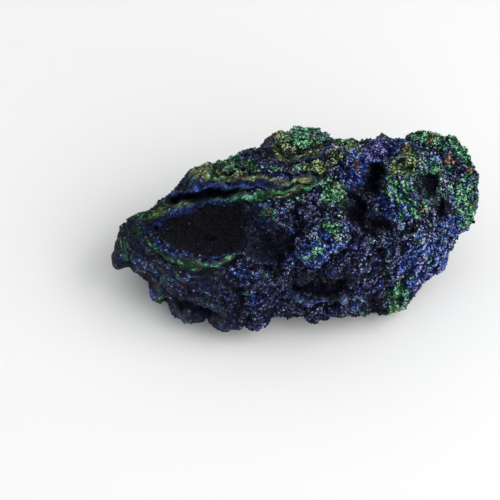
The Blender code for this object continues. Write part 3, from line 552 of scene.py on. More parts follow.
# Patches there: across, up, half sizes across and up, turn in degrees, strength.
PATCHES = {
    "green": (
        (-34.5, 4.8, 4.4, 1.5, 22, 0.7), (-19, 14.5, 8, 1.8, 8, 0.55), (0.5, 22.5, 9.5, 4.2, 0, 1.2),
        (-5, 14.5, 1.4, 0.9, 0, 1.0), (0.8, 14.5, 1.2, 0.8, 0, 1.0), (5.5, 15, 4, 1.4, 0, 1.0),
        (9.5, 8.5, 4.4, 3.2, 25, 1.1), (-6.5, 3.4, 2.0, 1.2, 0, 1.4), (7.2, -0.8, 2.6, 1.8, 20, 0.8),
        (17.5, -2, 1.2, 1.0, 0, 0.8), (29, 9.5, 11.5, 9.5, 0, 0.55), (41, 7, 3.4, 6, 0, 0.7),
        (41, 17, 3.4, 4, 0, 1.0), (35.5, 21.5, 8, 4.2, 0, 1.2), (25.5, -17, 4, 4, 0, 1.1),
        (-32, -14.8, 0.9, 1.2, 0, 1.0), (-15.5, -22, 1.2, 0.9, 0, 1.0), (14, 21.5, 6, 2.2, 0, 0.9),
        (25, 22.5, 6, 1.8, 0, 0.9), (-41, -4, 1.5, 3, 0, 0.5), (15.5, -18.2, 2, 1, 0, 0.5),
        (1, 5.5, 2.4, 1.6, 0, 0.5), (-38, -1, 1.6, 1.8, 0, 0.5), (3.5, -4.5, 4, 2.4, 15, 0.42),
        (-5.5, 21.6, 4, 3, 0, 1.1),
    ),
    "olive": (
        (-1, 18.3, 4.4, 1.5, 0, 1.1), (5.5, 15.2, 3.4, 1.0, 0, 1.1), (10, 9.5, 2.6, 1.8, 0, 0.8),
        (26, 14, 5, 3.4, 0, 0.8), (25.5, -17.5, 3.4, 3.2, 0, 0.9), (12, 18.6, 4, 1.6, 0, 1.0),
        (-17, 15.4, 6, 1.2, 8, 0.55), (31, 4.5, 3, 1.5, 30, 0.6), (36, 13, 3, 3, 0, 0.4),
        (-7, 3.6, 1.2, 0.7, 0, 0.7), (-24, 6.8, 2.6, 0.8, 15, 0.8), (14, 21.6, 4, 1.4, 0, 0.8),
    ),
    "mint": (
        (5, 6.6, 1.4, 1.0, 0, 1.2), (12, 7, 0.8, 1.4, 0, 1.0), (9, 0.5, 2.4, 1.2, 20, 0.8),
        (-11.5, 7, 1.3, 0.8, 0, 0.8), (6.5, 12.2, 1.8, 0.9, 25, 1.0), (-19, 14.5, 8, 2.2, 8, 0.42),
        (40.5, 6, 2.4, 4, 0, 0.6), (1, 22, 6, 2.6, 0, 0.45), (35, 21, 5, 2.6, 0, 0.45),
        (-30, -6.6, 1.6, 0.7, -25, 0.8), (-6.2, 21.4, 1.8, 1.2, 0, 0.8), (3.5, -4.5, 4, 2.4, 15, 0.9),
        (25, -16.5, 3, 2.4, 0, 0.5), (22, 6, 5, 4, 0, 0.4), (14.8, -18.2, 1.2, 0.5, 0, 1.0),
    ),
    "azure": (
        (12.4, 10.5, 1.2, 2.2, 0, 1.2), (-3, 13, 2.4, 0.8, 0, 1.0), (-7, 9.8, 2.6, 0.7, -8, 1.0),
        (2.6, -5.4, 4.2, 2.8, 15, 1.3), (17, 18, 5, 4.2, 0, 1.2), (26, 19, 4, 1.8, 0, 1.2),
        (32, -7, 10, 7, 25, 0.75), (-33.5, -14.6, 2.4, 2.2, 0, 0.9), (-13, -10, 2.2, 1.3, 0, 1.0),
        (-8.5, 3, 3.0, 2.2, 0, 1.1), (-10.5, -17, 1.6, 1.2, 0, 0.9), (-16, -23.5, 1.2, 1.0, 0, 1.0),
        (15.5, 13, 2.6, 2.4, 0, 1.1), (31, 8, 1.4, 1.0, 0, 0.8), (9, -9.5, 1.4, 1.0, 0, 0.7),
        (-22, 9.9, 5, 0.9, 8, 1.0), (6.5, -4, 3, 2.6, 0, 0.9), (23, 6, 5, 4, 0, 0.8),
        (38, 1, 4, 3, 30, 0.9), (34, 15, 4, 3, 0, 0.6),
    ),
    "violet": (
        (18.5, 19.5, 4, 3.4, 0, 1.1), (-3, 13, 2.2, 1.4, 0, 1.1), (33, -8.5, 6.5, 3.6, 25, 0.5),
        (-18.5, -22.5, 1.6, 1.0, 0, 1.2), (-8, -17, 1.8, 1.2, 0, 1.2), (12.5, -8.2, 4.4, 3.2, 0, 0.45),
        (31.5, 9, 3.4, 3.2, 0, 0.9), (-12, -2.5, 1.4, 1.6, 0, 0.7), (5.5, 1.5, 3.4, 1.6, 0, 0.7),
        (-2, 10.2, 5, 1.0, 0, 0.7), (15, -4, 3, 2, 0, 0.6),
    ),
    "rust": (
        (-5, 19, 1.12, 0.68, 20, 1.3), (6, 19.4, 1.42, 0.68, -30, 1.3), (8, 17.5, 0.6, 0.45, 0, 1.2),
        (8, 15, 0.52, 0.38, 0, 1.2), (10, 9.6, 0.75, 0.52, 0, 1.2), (14.6, 14.6, 0.68, 0.45, 0, 1.3),
        (26.8, 17.1, 0.98, 0.68, 0, 1.3), (37, 15.6, 1.35, 0.83, -40, 1.4),
        (32.5, 18.6, 0.6, 0.45, 0, 1.2), (29.5, 17.8, 0.52, 0.38, 0, 1.1),
        (40.5, 12.6, 0.6, 0.83, 0, 1.2), (31.2, 4, 1.2, 0.45, 40, 1.3), (29, 2.8, 0.75, 0.52, 0, 1.1),
        (19.6, 8.6, 0.45, 0.38, 0, 1.1), (40, 19.4, 1.2, 0.75, -50, 1.2), (32, 23, 0.9, 0.6, 0, 1.1),
        (5, -21.4, 1.2, 0.68, 0, 0.8), (26, 11.5, 0.52, 0.45, 0, 0.9), (24, 12.6, 0.38, 0.38, 0, 0.9),
    ),
    # Painted shade: places in pits, clefts and recesses that stay darkened.
    "dark": (
        (31.5, 9, 3.6, 3.2, 20, 1.2), (35.5, 4.6, 2.2, 3.2, 0, 1.3), (19.2, 12.4, 3.0, 3.8, -25, 1.3),
        (14, 5, 3.4, 5, 15, 1.4), (19, 2, 5, 2.4, -20, 1.2), (-5.5, -3.5, 4.8, 5.4, 0, 1.1),
        (-10, -3, 3.8, 5.6, 0, 1.05), (19.5, -17.5, 3.4, 2.8, -40, 1.3), (-1.8, -21.4, 2.8, 2.4, 0, 1.2),
        (-17, -19.5, 7, 3.4, -15, 0.55), (10, -11, 8, 2.6, 0, 0.8), (0, -17, 3, 1.4, 0, 0.8),
        (-22, -20, 5, 1.6, -15, 0.9), (-42, -6, 2, 2, 0, 0.6), (16.5, 19, 5.5, 4, 0, 0.42),
    ),
    # Places where the tone is raised.
    "light": (
        (4.5, 14.9, 3.2, 1.0, 15, 1.2), (6.5, 12.4, 2.2, 1.0, 25, 1.0), (9, 9, 2.8, 2.8, 0, 0.8),
        (5.2, 6.4, 1.5, 1.0, 0, 1.2), (-17, 15.9, 3.0, 0.8, 12, 0.9), (-11.5, 15.4, 1.4, 0.8, 0, 0.9),
        (-6.8, 12.3, 2.4, 0.6, -15, 0.8), (-7, 3.6, 1.4, 0.8, 0, 0.8), (0.8, 14.6, 0.9, 0.7, 0, 1.2),
        (-30, -6.2, 1.8, 0.8, -25, 0.8), (41, 5, 2.6, 4, 0, 0.6), (28, 14, 3, 2, 0, 0.7),
        (40, -0.5, 2, 1.4, 30, 0.8), (4, -3, 2.6, 2, 0, 0.3), (42.5, 5, 3.6, 9, -10, 1.0),
        (1, 22.5, 7, 3, 0, 0.6), (36, 21.5, 6, 3, 0, 0.25), (6, 11, 7, 6, 30, 0.5),
        (33, 7, 11, 9, 0, 0.35), (36, -7, 8, 5, 30, 0.6), (29, -4, 8, 4, 30, 0.3),
    ),
    # Places where pale crystal faces, painted glints, gather.
    "pale": (
        (32, -7, 11, 8, 25, 1.0), (6, -2.5, 5.5, 4.5, 20, 0.85), (31, 9, 12, 9, 0, 0.8),
        (16, 18, 8, 5, 0, 0.6), (0.5, 22, 10, 5, 0, 0.9), (35, 21, 8, 5, 0, 0.7), (41, 6, 4, 7, 0, 1.1),
        (-19, 14.5, 9, 3, 8, 1.0), (9, 9, 5, 4, 25, 1.0), (-4, 12, 16, 6, 0, 0.5),
        (-5, -13, 16, 6, 0, 0.2),
    ),
    # Worn places with few crystals.
    "smooth": (
        (-32, -15, 3.4, 3, 0, 0.9), (-22, -20, 9, 4, -15, 0.8), (-40, -5, 6, 8, 0, 1.0),
        (-32, -10, 6, 3.4, -25, 0.8), (-37, 3, 6, 3, 25, 0.7), (-24, -12, 9, 3, -18, 0.6),
    ),
    # Where the crystals are small and all of much the same tone.
    "calm": (
        (-26, -13, 15, 9, -22, 1.0), (-9, -15, 11, 8, 0, 0.75), (-10.5, -2, 4.6, 8, 0, 1.0),
        (-4, -4, 5, 5, 0, 0.8), (14, -13, 10, 6, 0, 0.4), (-30, 9, 8, 4, 25, 0.6),
    ),
    # Where the crystals are finest: among the ledges and on the flank.
    "layered": (
        LEDGE_ZONE, (-36, -4, 10, 12, -30, 1.1),
    ),
}
# How often the crystals in a mineral's place are of that mineral, and how often a crystal anywhere is.
CHANCE = {"green": 0.88, "olive": 0.75, "mint": 0.5, "azure": 0.85, "violet": 0.75, "rust": 0.7}
EXTRA = {"green": 0.02, "olive": 0.0, "mint": 0.04, "azure": 0.1, "violet": 0.05, "rust": 0.0}
# Away from the open face: size and seed of each mineral's noise, and where its share starts and is whole.
ELSEWHERE = {
    "green": (np.array((18, 9, 9)), 210, 0.05, 0.55), "olive": (7, 220, 0.3, 0.7),
    "mint": (4, 230, 0.35, 0.7), "azure": (8, 240, 0.1, 0.6), "violet": (6, 250, 0.25, 0.7),
    "rust": (5, 260, 0.55, 0.75), "dark": (6, 265, 0.2, 0.7),
}
# Size and seed of the noise that breaks up each mineral's edges, and seeds of the noise that shifts them.
BROKEN_EDGES = {
    "green": (1.4, 270), "olive": (1.2, 271), "mint": (0.9, 272), "azure": (1.6, 273), "violet": (1.5, 274),
    "rust": (0.8, 275),
}
SHIFT_SEEDS = (201, 202)

# Colours of the minerals at the low and the high end of their tone: painted shade and painted full light,
# as well as the grain's own tone between them.
COLOURS = {
    "navy": ((0.002, 0.003, 0.009), (0.06, 0.08, 0.2)),
    "royal": ((0.003, 0.006, 0.048), (0.055, 0.15, 0.6)),
    "purple": ((0.006, 0.005, 0.033), (0.15, 0.13, 0.47)),
    "leaf": ((0.002, 0.009, 0.005), (0.085, 0.42, 0.2)),
    "moss": ((0.008, 0.014, 0.005), (0.38, 0.48, 0.18)),
    "milky": ((0.008, 0.05, 0.036), (0.36, 0.78, 0.56)),
    "ochre": ((0.03, 0.01, 0.004), (0.42, 0.19, 0.07)),
}
# Colours of painted glints and highlights.
BLUE_GLINT, GREEN_GLINT = (0.6, 0.7, 0.82), (0.6, 0.82, 0.62)
PIT_SHADE_COLOUR = (0.005, 0.0048, 0.012)  # colour of the painted shade deep in the stone's pits
HOLLOW_SHADE_COLOUR = (0.037, 0.037, 0.05)  # and of the painted shade in the hollow, strongest at its bottom
FLOOR = (0.868, 0.863, 0.853)
ROOM = (0.97, 0.985, 1)

# Camera, lamps and floor, in metres.
OUT = Vector(SIDES["face"][2])
SPIN = Matrix.Rotation(TURN, 3, "Z")
CAMERA_DISTANCE = 0.75
SENSOR = 36  # width of the camera's film, in millimetres
PICTURE_WIDTH = 500  # points across the picture
PIXEL = 0.2432 * MM  # size of a point of it at the stone
CENTRE = (-10.7, -4.9, 13.0)  # the picture's middle: across, up and out on the face, in millimetres
# Azimuth and elevation in degrees, distance, side, power in watts, and whether it shows in glossy faces.
LAMPS = {"window": ((-26, 42), 1.1, 0.8, 6.3, True), "soft front light": ((-70, 31), 2.2, 1.8, 18.5, False)}
LAMP_AIM = 0.02  # the lamps face this far above the origin
ROOM_BRIGHT_SIDE = (0.35, -0.45, 0.8)
ROOM_STRENGTH = (0.46, 0.89)  # of the room's dim and bright sides
FLOOR_REACH = 3.0


def placed(points):
    """Form coordinates, in millimetres, brought into the frame: turned along X and moved, in metres."""
    return (points @ np.array(SPIN).T - ORIGIN) * MM


def add_piece(name, mesh, material, node=None):
    """A piece of the stone from its mesh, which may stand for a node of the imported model."""
    made = bpy.data.objects.new(name, mesh)
    bpy.context.scene.collection.objects.link(made)
    mesh.materials.append(material)
    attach(made, "root")
    if node:
        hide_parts(node)


def mesh_of(name, points, faces, corner_uvs, masks):
    """A mesh from whole arrays: points in millimetres, faces of 3 or 4 corners, a UV for each corner of
    each face, and named masks, three numbers for each point."""
    mesh = bpy.data.meshes.new(name)
    mesh.vertices.add(len(points))
    mesh.vertices.foreach_set("co", placed(points).astype(np.float32).ravel())
    corners = np.concatenate([part.ravel() for part in faces])
    sizes = np.concatenate([np.full(len(part), part.shape[1]) for part in faces])
    mesh.loops.add(len(corners))
    mesh.loops.foreach_set("vertex_index", corners.astype(np.int32))
    mesh.polygons.add(len(sizes))
    mesh.polygons.foreach_set("loop_start", (np.cumsum(sizes) - sizes).astype(np.int32))
    mesh.update(calc_edges=True)
    uvs = np.concatenate([part.reshape(-1, 2) for part in corner_uvs])
    mesh.uv_layers.new(name="OFBake").data.foreach_set("uv", uvs.astype(np.float32).ravel())
    for mask, values in masks.items():
        colour = np.ones((len(points), 4), np.float32)
        colour[:, :3] = values
        mesh.attributes.new(mask, "FLOAT_COLOR", "POINT").data.foreach_set("color", colour.ravel())
    mesh.validate()
    return mesh


def banded(across, up, bands):
    """How strongly bands cover each place: 1 within 0.6 of the half width, falling to 0 at 1.5 of it
    and at both ends of the path, times the band's strength. The strongest band counts."""
    value = np.zeros(np.shape(across))
    for path, half_width, strength in bands:
        beside, share = beside_path(across, up, path)
        ends = smooth(0, 0.06, share) * smooth(0, 0.06, 1 - share)
        value = np.maximum(value, strength * ends * (1 - smooth(0.6, 1.5, np.abs(beside) / half_width)))
    return value


def patched(across, up, patches):
    """How strongly patches cover each place: 1 as far as half way out, then 1.25 - q^2, which ends a
    little past the rim, q being 1 on it, times the patch's strength. The strongest patch counts."""
    value = np.zeros(np.shape(across))
    for *ellipse, strength in patches:
        q = off_middle(across, up, *ellipse)
        value = np.maximum(value, strength * np.clip(1.25 - q * q, 0, 1))
    return value


def shown(name, across, up):
    """Where a mineral, a finish, painted shade or painted glints show on the open face: the stronger of its
    bands and patches.
    """
    return np.maximum(banded(across, up, BANDS.get(name, ())), patched(across, up, PATCHES.get(name, ())))


def share_of(name, view):
    """The same, from 0 to 1, for points seen from the open face."""
    return np.clip(shown(name, *view[:2]), 0, 1)


def broken(value, points, size, seed):
    """A mask whose edges are broken up by noise of this size."""
    return smooth(0.3, 0.72, value + 0.28 * layered_noise(points, size, 3, seed) * (value > 0.01))


def mineral_masks(points, view):
    """Shares of the minerals, finishes and painted shade at points on the stone, from 0 to 1. On the
    open face they follow the bands and patches, shifted a little by noise. Elsewhere layered noise
    spreads the same minerals."""
    across, up, facing = view
    shift = 0.35 * np.stack([noise(points, 1.8, seed) for seed in SHIFT_SEEDS], -1)
    across, up = across + shift[..., 0], up + shift[..., 1]
    face = smooth(-0.3, 0.0, facing)
    masks = {}
    for name, (size, seed, low, high) in ELSEWHERE.items():
        spread = smooth(low, high, layered_noise(points, size, 3, seed))
        masks[name] = shown(name, across, up) * face + (1 - face) * spread
    for name, (size, seed) in BROKEN_EDGES.items():
        masks[name] = broken(masks[name], points, size, seed)
    # Painted shade in pits, clefts and recesses of the open face, and in random patches elsewhere.
    dark = masks["dark"]
    dark = dark + 0.2 * layered_noise(points, 1.6, 3, 276) * (dark > 0.01)
    masks["dark"] = 0.9 * smooth(0.15, 1.05, dark)
    masks["light"] = shown("light", across, up) * face
    masks["smooth"] = smooth(0.2, 0.8, shown("smooth", across, up)) * face
    return masks


def clumped(points, view):
    """The clump that each point lies in, from cellular noise: how far the point is from the clump's
    edge, from 0 to 1, and numbers of the clump's own from 0 to 1, for each mineral and for its tone.
    They are further digits of one random number. Among the ledges the clumps are drawn out along
    them."""
    across, up, _ = view
    path = np.array(LEDGES["pale rim"][0])
    layered = np.clip(patched(across, up, (LEDGE_ZONE,)), 0, 1)[..., None]
    across_axis, up_axis, _ = (np.array(axis) for axis in SIDES["face"])
    drawn_out = points - 0.72 * layered * across[..., None] * across_axis
    drawn_out = drawn_out - layered * np.interp(across, path[:, 0], path[:, 1])[..., None] * up_axis
    _, gap, number, _ = cells(drawn_out, CLUMP, 301)
    names = (*CHANCE, "tone")
    return smooth(0.02, 0.3, gap), {name: number * 97 * (k + 1) % 1 for k, name in enumerate(names)}


def grid_faces(rings, segments):
    """Quads of a closed grid of rings, each joined round, with a triangle fan to a pole at each end:
    faces, and a UV for each of their corners, along the rings and round them. Points run ring by ring,
    then the two poles."""
    ring = np.arange(rings - 1)[:, None] * segments
    at = np.arange(segments)
    after = (at + 1) % segments
    quads = [ring + at, ring + segments + at, ring + segments + after, ring + after]
    quads = np.stack(quads, -1)[..., ::-1]
    along = (np.arange(rings) + 0.5) / rings
    low, high = at / segments, (at + 1) / segments
    quad_uvs = np.empty((rings - 1, segments, 4, 2))
    quad_uvs[..., 0] = np.stack([along[:-1], along[1:], along[1:], along[:-1]], -1)[:, None, :]
    quad_uvs[..., 1] = np.stack([low, low, high, high], -1)
    quad_uvs = quad_uvs[..., ::-1, :]
    first, last = rings * segments, rings * segments + 1
    end = (rings - 1) * segments
    caps = np.concatenate([np.stack([np.full(segments, first), after, at], -1),
                           np.stack([np.full(segments, last), end + at, end + after], -1)])
    middle = (low + high) / 2
    cap_uvs = np.empty((2 * segments, 3, 2))
    cap_uvs[:segments, :, 0] = 0, along[0], along[0]
    cap_uvs[segments:, :, 0] = 1, along[-1], along[-1]
    cap_uvs[..., 1] = np.concatenate([np.stack([middle, high, low], -1), np.stack([middle, low, high], -1)])
    return (quads.reshape(-1, 4), caps), (quad_uvs.reshape(-1, 4, 2), cap_uvs)


def with_poles(grid_values, first, last):
    """A grid's values in one row, ring by ring, and then those of its two poles."""
    return np.append(grid_values.ravel(), (first, last))


def skin_grid():
    """The grid's u and v: rings closer at the middle, and segments closer on the open face than
    behind."""
    t = pi * (np.arange(SKIN_RINGS) + 0.5) / SKIN_RINGS
    w = 2 * pi * np.arange(SKIN_SEGMENTS) / SKIN_SEGMENTS
    u, v = np.meshgrid(t + 0.12 * np.sin(2 * t), w - 0.3 * np.sin(w - radians(135)), indexing="ij")
    return with_poles(u, 0, pi), with_poles(v, 0, 0)


def clumped_surface():
    """The stone's surface on the skin's grid, with its clumps standing out where it isn't worn, and
    nothing below the floor. Returns points, how they lie on the open face, and how far each stands out
    of the plain body."""
    u, v = skin_grid()
    points, out, view = surface(u, v)
    clump_middle, _ = clumped(points, view)
    points += out * (CLUMP_RISE * (clump_middle - 0.6) * (1 - share_of("smooth", view)))[:, None]
    points[:, 2] = np.maximum(points[:, 2], 0)
    return points, view, ((points - body(u, v)[0]) * out).sum(-1)


def middle_below(points):
    """The middle of the box round the turned points, at the floor: the origin of the frame."""
    turned = points @ np.array(SPIN).T
    low, high = turned.min(0), turned.max(0)
    return np.array([(low[0] + high[0]) / 2, (low[1] + high[1]) / 2, 0])


# Worked out once, for the skin, the crystals and the rim of the lining.
SURFACE, VIEW, RISE = clumped_surface()
ORIGIN = middle_below(SURFACE)


def sunk_hollow():
    """The surface with its points inside the hollow's mouth moved to the hollow's wall, behind the
    lining: from the rim inwards they run down the wall to the bottom. Returns the points and which of
    them moved."""
    across, up, facing = VIEW
    around = np.arctan2(up - HOLLOW_MIDDLE[1], across - HOLLOW_MIDDLE[0])
    rim_across, rim_up, _ = hollow(around, np.zeros_like(around), SKIN_EDGE)
    rim = np.hypot(rim_across - HOLLOW_MIDDLE[0], rim_up - HOLLOW_MIDDLE[1])
    share = np.hypot(across - HOLLOW_MIDDLE[0], up - HOLLOW_MIDDLE[1]) / rim
    inside = (share < 1) & (facing > FRONT)
    below = np.where(inside, 1 - np.clip(share, 0, 1) ** 2.5, 0)
    wall = SKIN_EDGE + (CRUST + GAP - SKIN_EDGE) * smooth(0, 0.08, below)
    wall_across, wall_up, depth = hollow(around, below, wall)
    settled = smooth(0, 0.5, below)
    own_level = SURFACE @ np.array(SIDES["face"][2])
    level = (1 - settled) * own_level + settled * mouth_level(wall_across, wall_up)
    return np.where(inside[..., None], on_face(wall_across, wall_up, level - depth), SURFACE), inside


def flank_bands():
    """The worn flank left of the hollow, and its thin laminae, at each point of the surface: how much
    it belongs to the flank, and a random number for the lamina it lies in, which runs parallel to the
    mouth."""
    across, up, facing = VIEW
    rings = -mouth_distance(across, up) + 0.7 * layered_noise(SURFACE, 6, 2, 71)
    share = smooth(9, 18, -across - 0.2 * np.abs(up)) * smooth(0.0, 0.25, facing) * smooth(0.8, 2, rings)
    share = share * smooth(-19, -15, up) * (1 - smooth(5, 8, up))
    number = np.floor(rings / FINE_LAMINA).astype(np.int64)
    piece = np.floor(across / 3 + number * 0.37 + noise(SURFACE, 5, 72)).astype(np.int64)
    return share, scatter(number, piece, 0, 73)


def sunk_by(passes):
    """How far a point stands behind the mean of the surface round it, in millimetres: the distance out
    of the plain body is blurred over the grid, further with more passes. It is negative on tops."""
    rise = RISE[:-2].reshape(SKIN_RINGS, SKIN_SEGMENTS)
    mean = rise.copy()
    for _ in range(passes):
        mean = (mean + np.roll(mean, 1, 1) + np.roll(mean, -1, 1)) / 3
        mean[1:-1] = (mean[:-2] + mean[1:-1] + mean[2:]) / 3
    return with_poles(mean - rise, 0, 0)


def glint_share(points, view, seam_shade):
    """Where pale crystal faces, painted glints, gather, from 0 to 1: in patches, in clusters, and on tops
    rather than in seams, as painted highlights."""
    patches = np.clip(np.maximum(shown("pale", *view[:2]), GLINTS_ANYWHERE), 0, 1)
    return patches * smooth(-0.2, 0.7, layered_noise(points, 2.2, 3, 330)) * (1 - seam_shade) ** 1.5


def packed(masks, tone, depth, pale=0.0, gloss=0.0, even=0.0):
    """The masks as the attributes that the materials read. Blues: azure, violet, depth in a pit, which is
    painted shade. Greens: green, olive, mint. Grains: tone, share of pale faces, which are painted glints,
    gloss. Wear: rust, and how even the faces are."""
    whole = np.ones_like(tone)
    return {"blues": np.stack([masks["azure"], masks["violet"], depth], -1),
            "greens": np.stack([masks["green"], masks["olive"], masks["mint"]], -1),
            "grains": np.stack([tone, pale * whole, gloss * whole], -1),
            "wear": np.stack([masks["rust"], even * whole, 0 * whole], -1)}


def read_stone():
    """What the stone is like at each point of the surface, from 0 to 1: the masks, and depth in a pit,
    which is painted shade, painted shade in the cracks between clumps, inside of the hollow, flank and
    lamina, calm and layered places."""
    stone = mineral_masks(SURFACE, VIEW)
    _, stone["inside"] = sunk_hollow()
    stone["flank"], stone["lamina"] = flank_bands()
    narrow, wide = (sunk_by(passes) for passes in SEAM_SHADE_PASSES)
    # Painted shade in narrow and wide cracks: how far each point lies behind the surface round it.
    stone["seam_shade"] = 1 - (1 - 0.85 * smooth(-0.05, 0.25, narrow)) * (1 - 0.9 * smooth(-0.35, 0.45, wide))
    # Painted shade in pits and shade patches, and all through the skin inside the hollow.
    pit = np.maximum(0.9 * smooth(0.6, 2.6, sunk_by(PIT_SHADE_PASSES)), stone["dark"])
    stone["depth"] = np.where(stone["inside"], 1.0, pit)
    stone["calm"], stone["layered"] = share_of("calm", VIEW), share_of("layered", VIEW)
    return stone


def make_skin(groups, stone):
    """The stone's skin in full relief. Its tone comes from the clumps and is lower towards their edges,
    which is painted shade, low in seams, also painted shade, higher on worn places, and set by the
    laminae on the flank, on a low tone there that is painted shade."""
    worn, seam_shade, depth, flank = (stone[name] for name in ("smooth", "seam_shade", "depth", "flank"))
    middle, chances = clumped(SURFACE, VIEW)
    picked = {name: smooth(-0.12, 0.12, stone[name] * chance - chances[name] * (1 - 0.7 * worn))
              for name, chance in CHANCE.items()}
    # Lower towards each clump's edge: painted shade in the cracks between clumps.
    clumps = (0.35 + 0.9 * chances["tone"] ** 2) * middle
    clumps = clumps + 0.3 * worn * (0.75 - clumps)
    tone = np.clip(0.5 + 0.5 * layered_noise(SURFACE, 0.9, 3, 300), 0, 1.2) * clumps
    # Painted shade in seams.
    tone = tone * (1 - 0.9 * seam_shade) * (1 + 0.35 * worn) * (1 + 0.8 * stone["light"])
    # The flank's laminae on a low tone, which is painted shade on the side turned from the light.
    tone = tone * (1 - flank) + flank * (0.03 + 0.52 * stone["lamina"]**3) * (1 - 0.6 * seam_shade)
    # Painted glints, on tops and out of pits.
    pale = 0.1 * (1 - depth) * glint_share(SURFACE, VIEW, seam_shade)
    masks = packed(picked, tone, depth, pale, even=0.6 * worn * (1 - 0.4 * flank))
    mesh = mesh_of("stone_skin", sunk_hollow()[0], *grid_faces(SKIN_RINGS, SKIN_SEGMENTS), masks)
    mesh.polygons.foreach_set("use_smooth", np.ones(len(mesh.polygons), bool))
    material = mineral_material("stone skin", groups, roughness=0.5, bump=0.6, bump_scale=1500,
                                specular=0.1, lean=0.5)
    add_piece("stone_skin", mesh, material, node="azurite_malachite_rock")


def crystals(base, out, sizes, seed):
    """One small crystal on each base point: a twisted prism of six points, three below and three above,
    whose top is a small flat face. It leans from the outward direction at random, and every corner is
    moved a little. Returns points, faces and UVs."""
    rng = np.random.default_rng(seed)
    count = len(base)
    axis = out + LEAN * rng.normal(size=(count, 3)) * rng.random((count, 1))
    axis /= np.linalg.norm(axis, axis=-1, keepdims=True)
    side = np.cross(axis, rng.normal(size=(count, 3)))
    side /= np.linalg.norm(side, axis=-1, keepdims=True)
    other = np.cross(axis, side)
    angles = radians(120) * np.arange(3) + np.array([[0.0], [radians(60)]])
    radius = np.stack([PRISM_RADIUS * np.ones(count), PRISM_RADIUS * rng.uniform(*TOPS, count)], -1)
    heights = np.stack([-FOOT * np.ones(count), rng.uniform(*TIPS, count)], -1)
    ring = np.cos(angles)[None, ..., None] * side[:, None, None]
    ring = ring + np.sin(angles)[None, ..., None] * other[:, None, None]
    points = ring * radius[..., None, None] + heights[..., None, None] * axis[:, None, None]
    points += JITTER * rng.normal(size=points.shape)
    points = base[:, None, None] + points * sizes[:, None, None, None]
    corners = np.array([(2, 1, 0), (3, 4, 5), (0, 1, 3), (1, 4, 3),
                        (1, 2, 4), (2, 5, 4), (2, 0, 5), (0, 3, 5)])
    faces = (CORNERS * np.arange(count))[:, None, None] + corners
    columns = int(np.ceil(np.sqrt(count)))
    cell = np.stack([np.arange(count) % columns, np.arange(count) // columns], -1) + 0.5
    reach = np.array([0.46, 0.2])[:, None, None] * np.stack([np.cos(angles), np.sin(angles)], -1)
    uvs = ((cell[:, None] + reach.reshape(1, CORNERS, 2)) / columns)[:, corners]
    return points.reshape(-1, 3), faces.reshape(-1, 3), uvs.reshape(-1, 3, 2)


def crystal_weight(stone):
    """How likely a crystal is at each point of the skin's grid: by the area round it, less behind, on
    the flank, in pits, on worn places and among layers, and none in the hollow or at the floor."""
    total = SKIN_RINGS * SKIN_SEGMENTS
    here = {name: values[:total] for name, values in stone.items()}
    grid = SURFACE[:total].reshape(SKIN_RINGS, SKIN_SEGMENTS, 3)
    ring = np.linalg.norm(np.gradient(grid, axis=0), axis=-1)
    turn = np.linalg.norm(np.roll(grid, -1, 1) - grid, axis=-1)
    bare = here["inside"] | (SURFACE[:total, 2] < BARE_BELOW)
    weight = (ring * turn).ravel() * np.where(bare, 0, 1) * (0.6 + 0.4 * VIEW[2][:total])
    left = (1 - 0.7 * here["flank"]) * (1 - 0.5 * here["depth"]) * (1 - 0.7 * here["smooth"])
    return weight * (left * (1 - 0.6 * here["layered"]))


def crystal_places(rng, weight, count):
    """Random places on the skin, by weight. Returns the grid point of each, the place, blended between
    the four corners of that point's cell, and the outward direction: the cross product of the grid's
    directions."""
    chosen = np.searchsorted(np.cumsum(weight) / weight.sum(), rng.random(count))
    chosen = np.minimum(chosen, len(weight) - 1)
    grid = SURFACE[:-2].reshape(SKIN_RINGS, SKIN_SEGMENTS, 3)
    i, j = chosen // SKIN_SEGMENTS, chosen % SKIN_SEGMENTS
    next_i, next_j = np.minimum(i + 1, SKIN_RINGS - 1), (j + 1) % SKIN_SEGMENTS
    fi, fj = rng.random((2, count))[..., None]
    base = (grid[i, j] * ((1 - fi) * (1 - fj)) + grid[next_i, j] * (fi * (1 - fj))
            + grid[i, next_j] * ((1 - fi) * fj) + grid[next_i, next_j] * (fi * fj))
    out = np.cross(np.roll(grid, -1, 1) - np.roll(grid, 1, 1), np.gradient(grid, axis=0))
    out /= np.maximum(np.linalg.norm(out, axis=-1, keepdims=True), 1e-9)
    return chosen, base, out.reshape(-1, 3)[chosen]


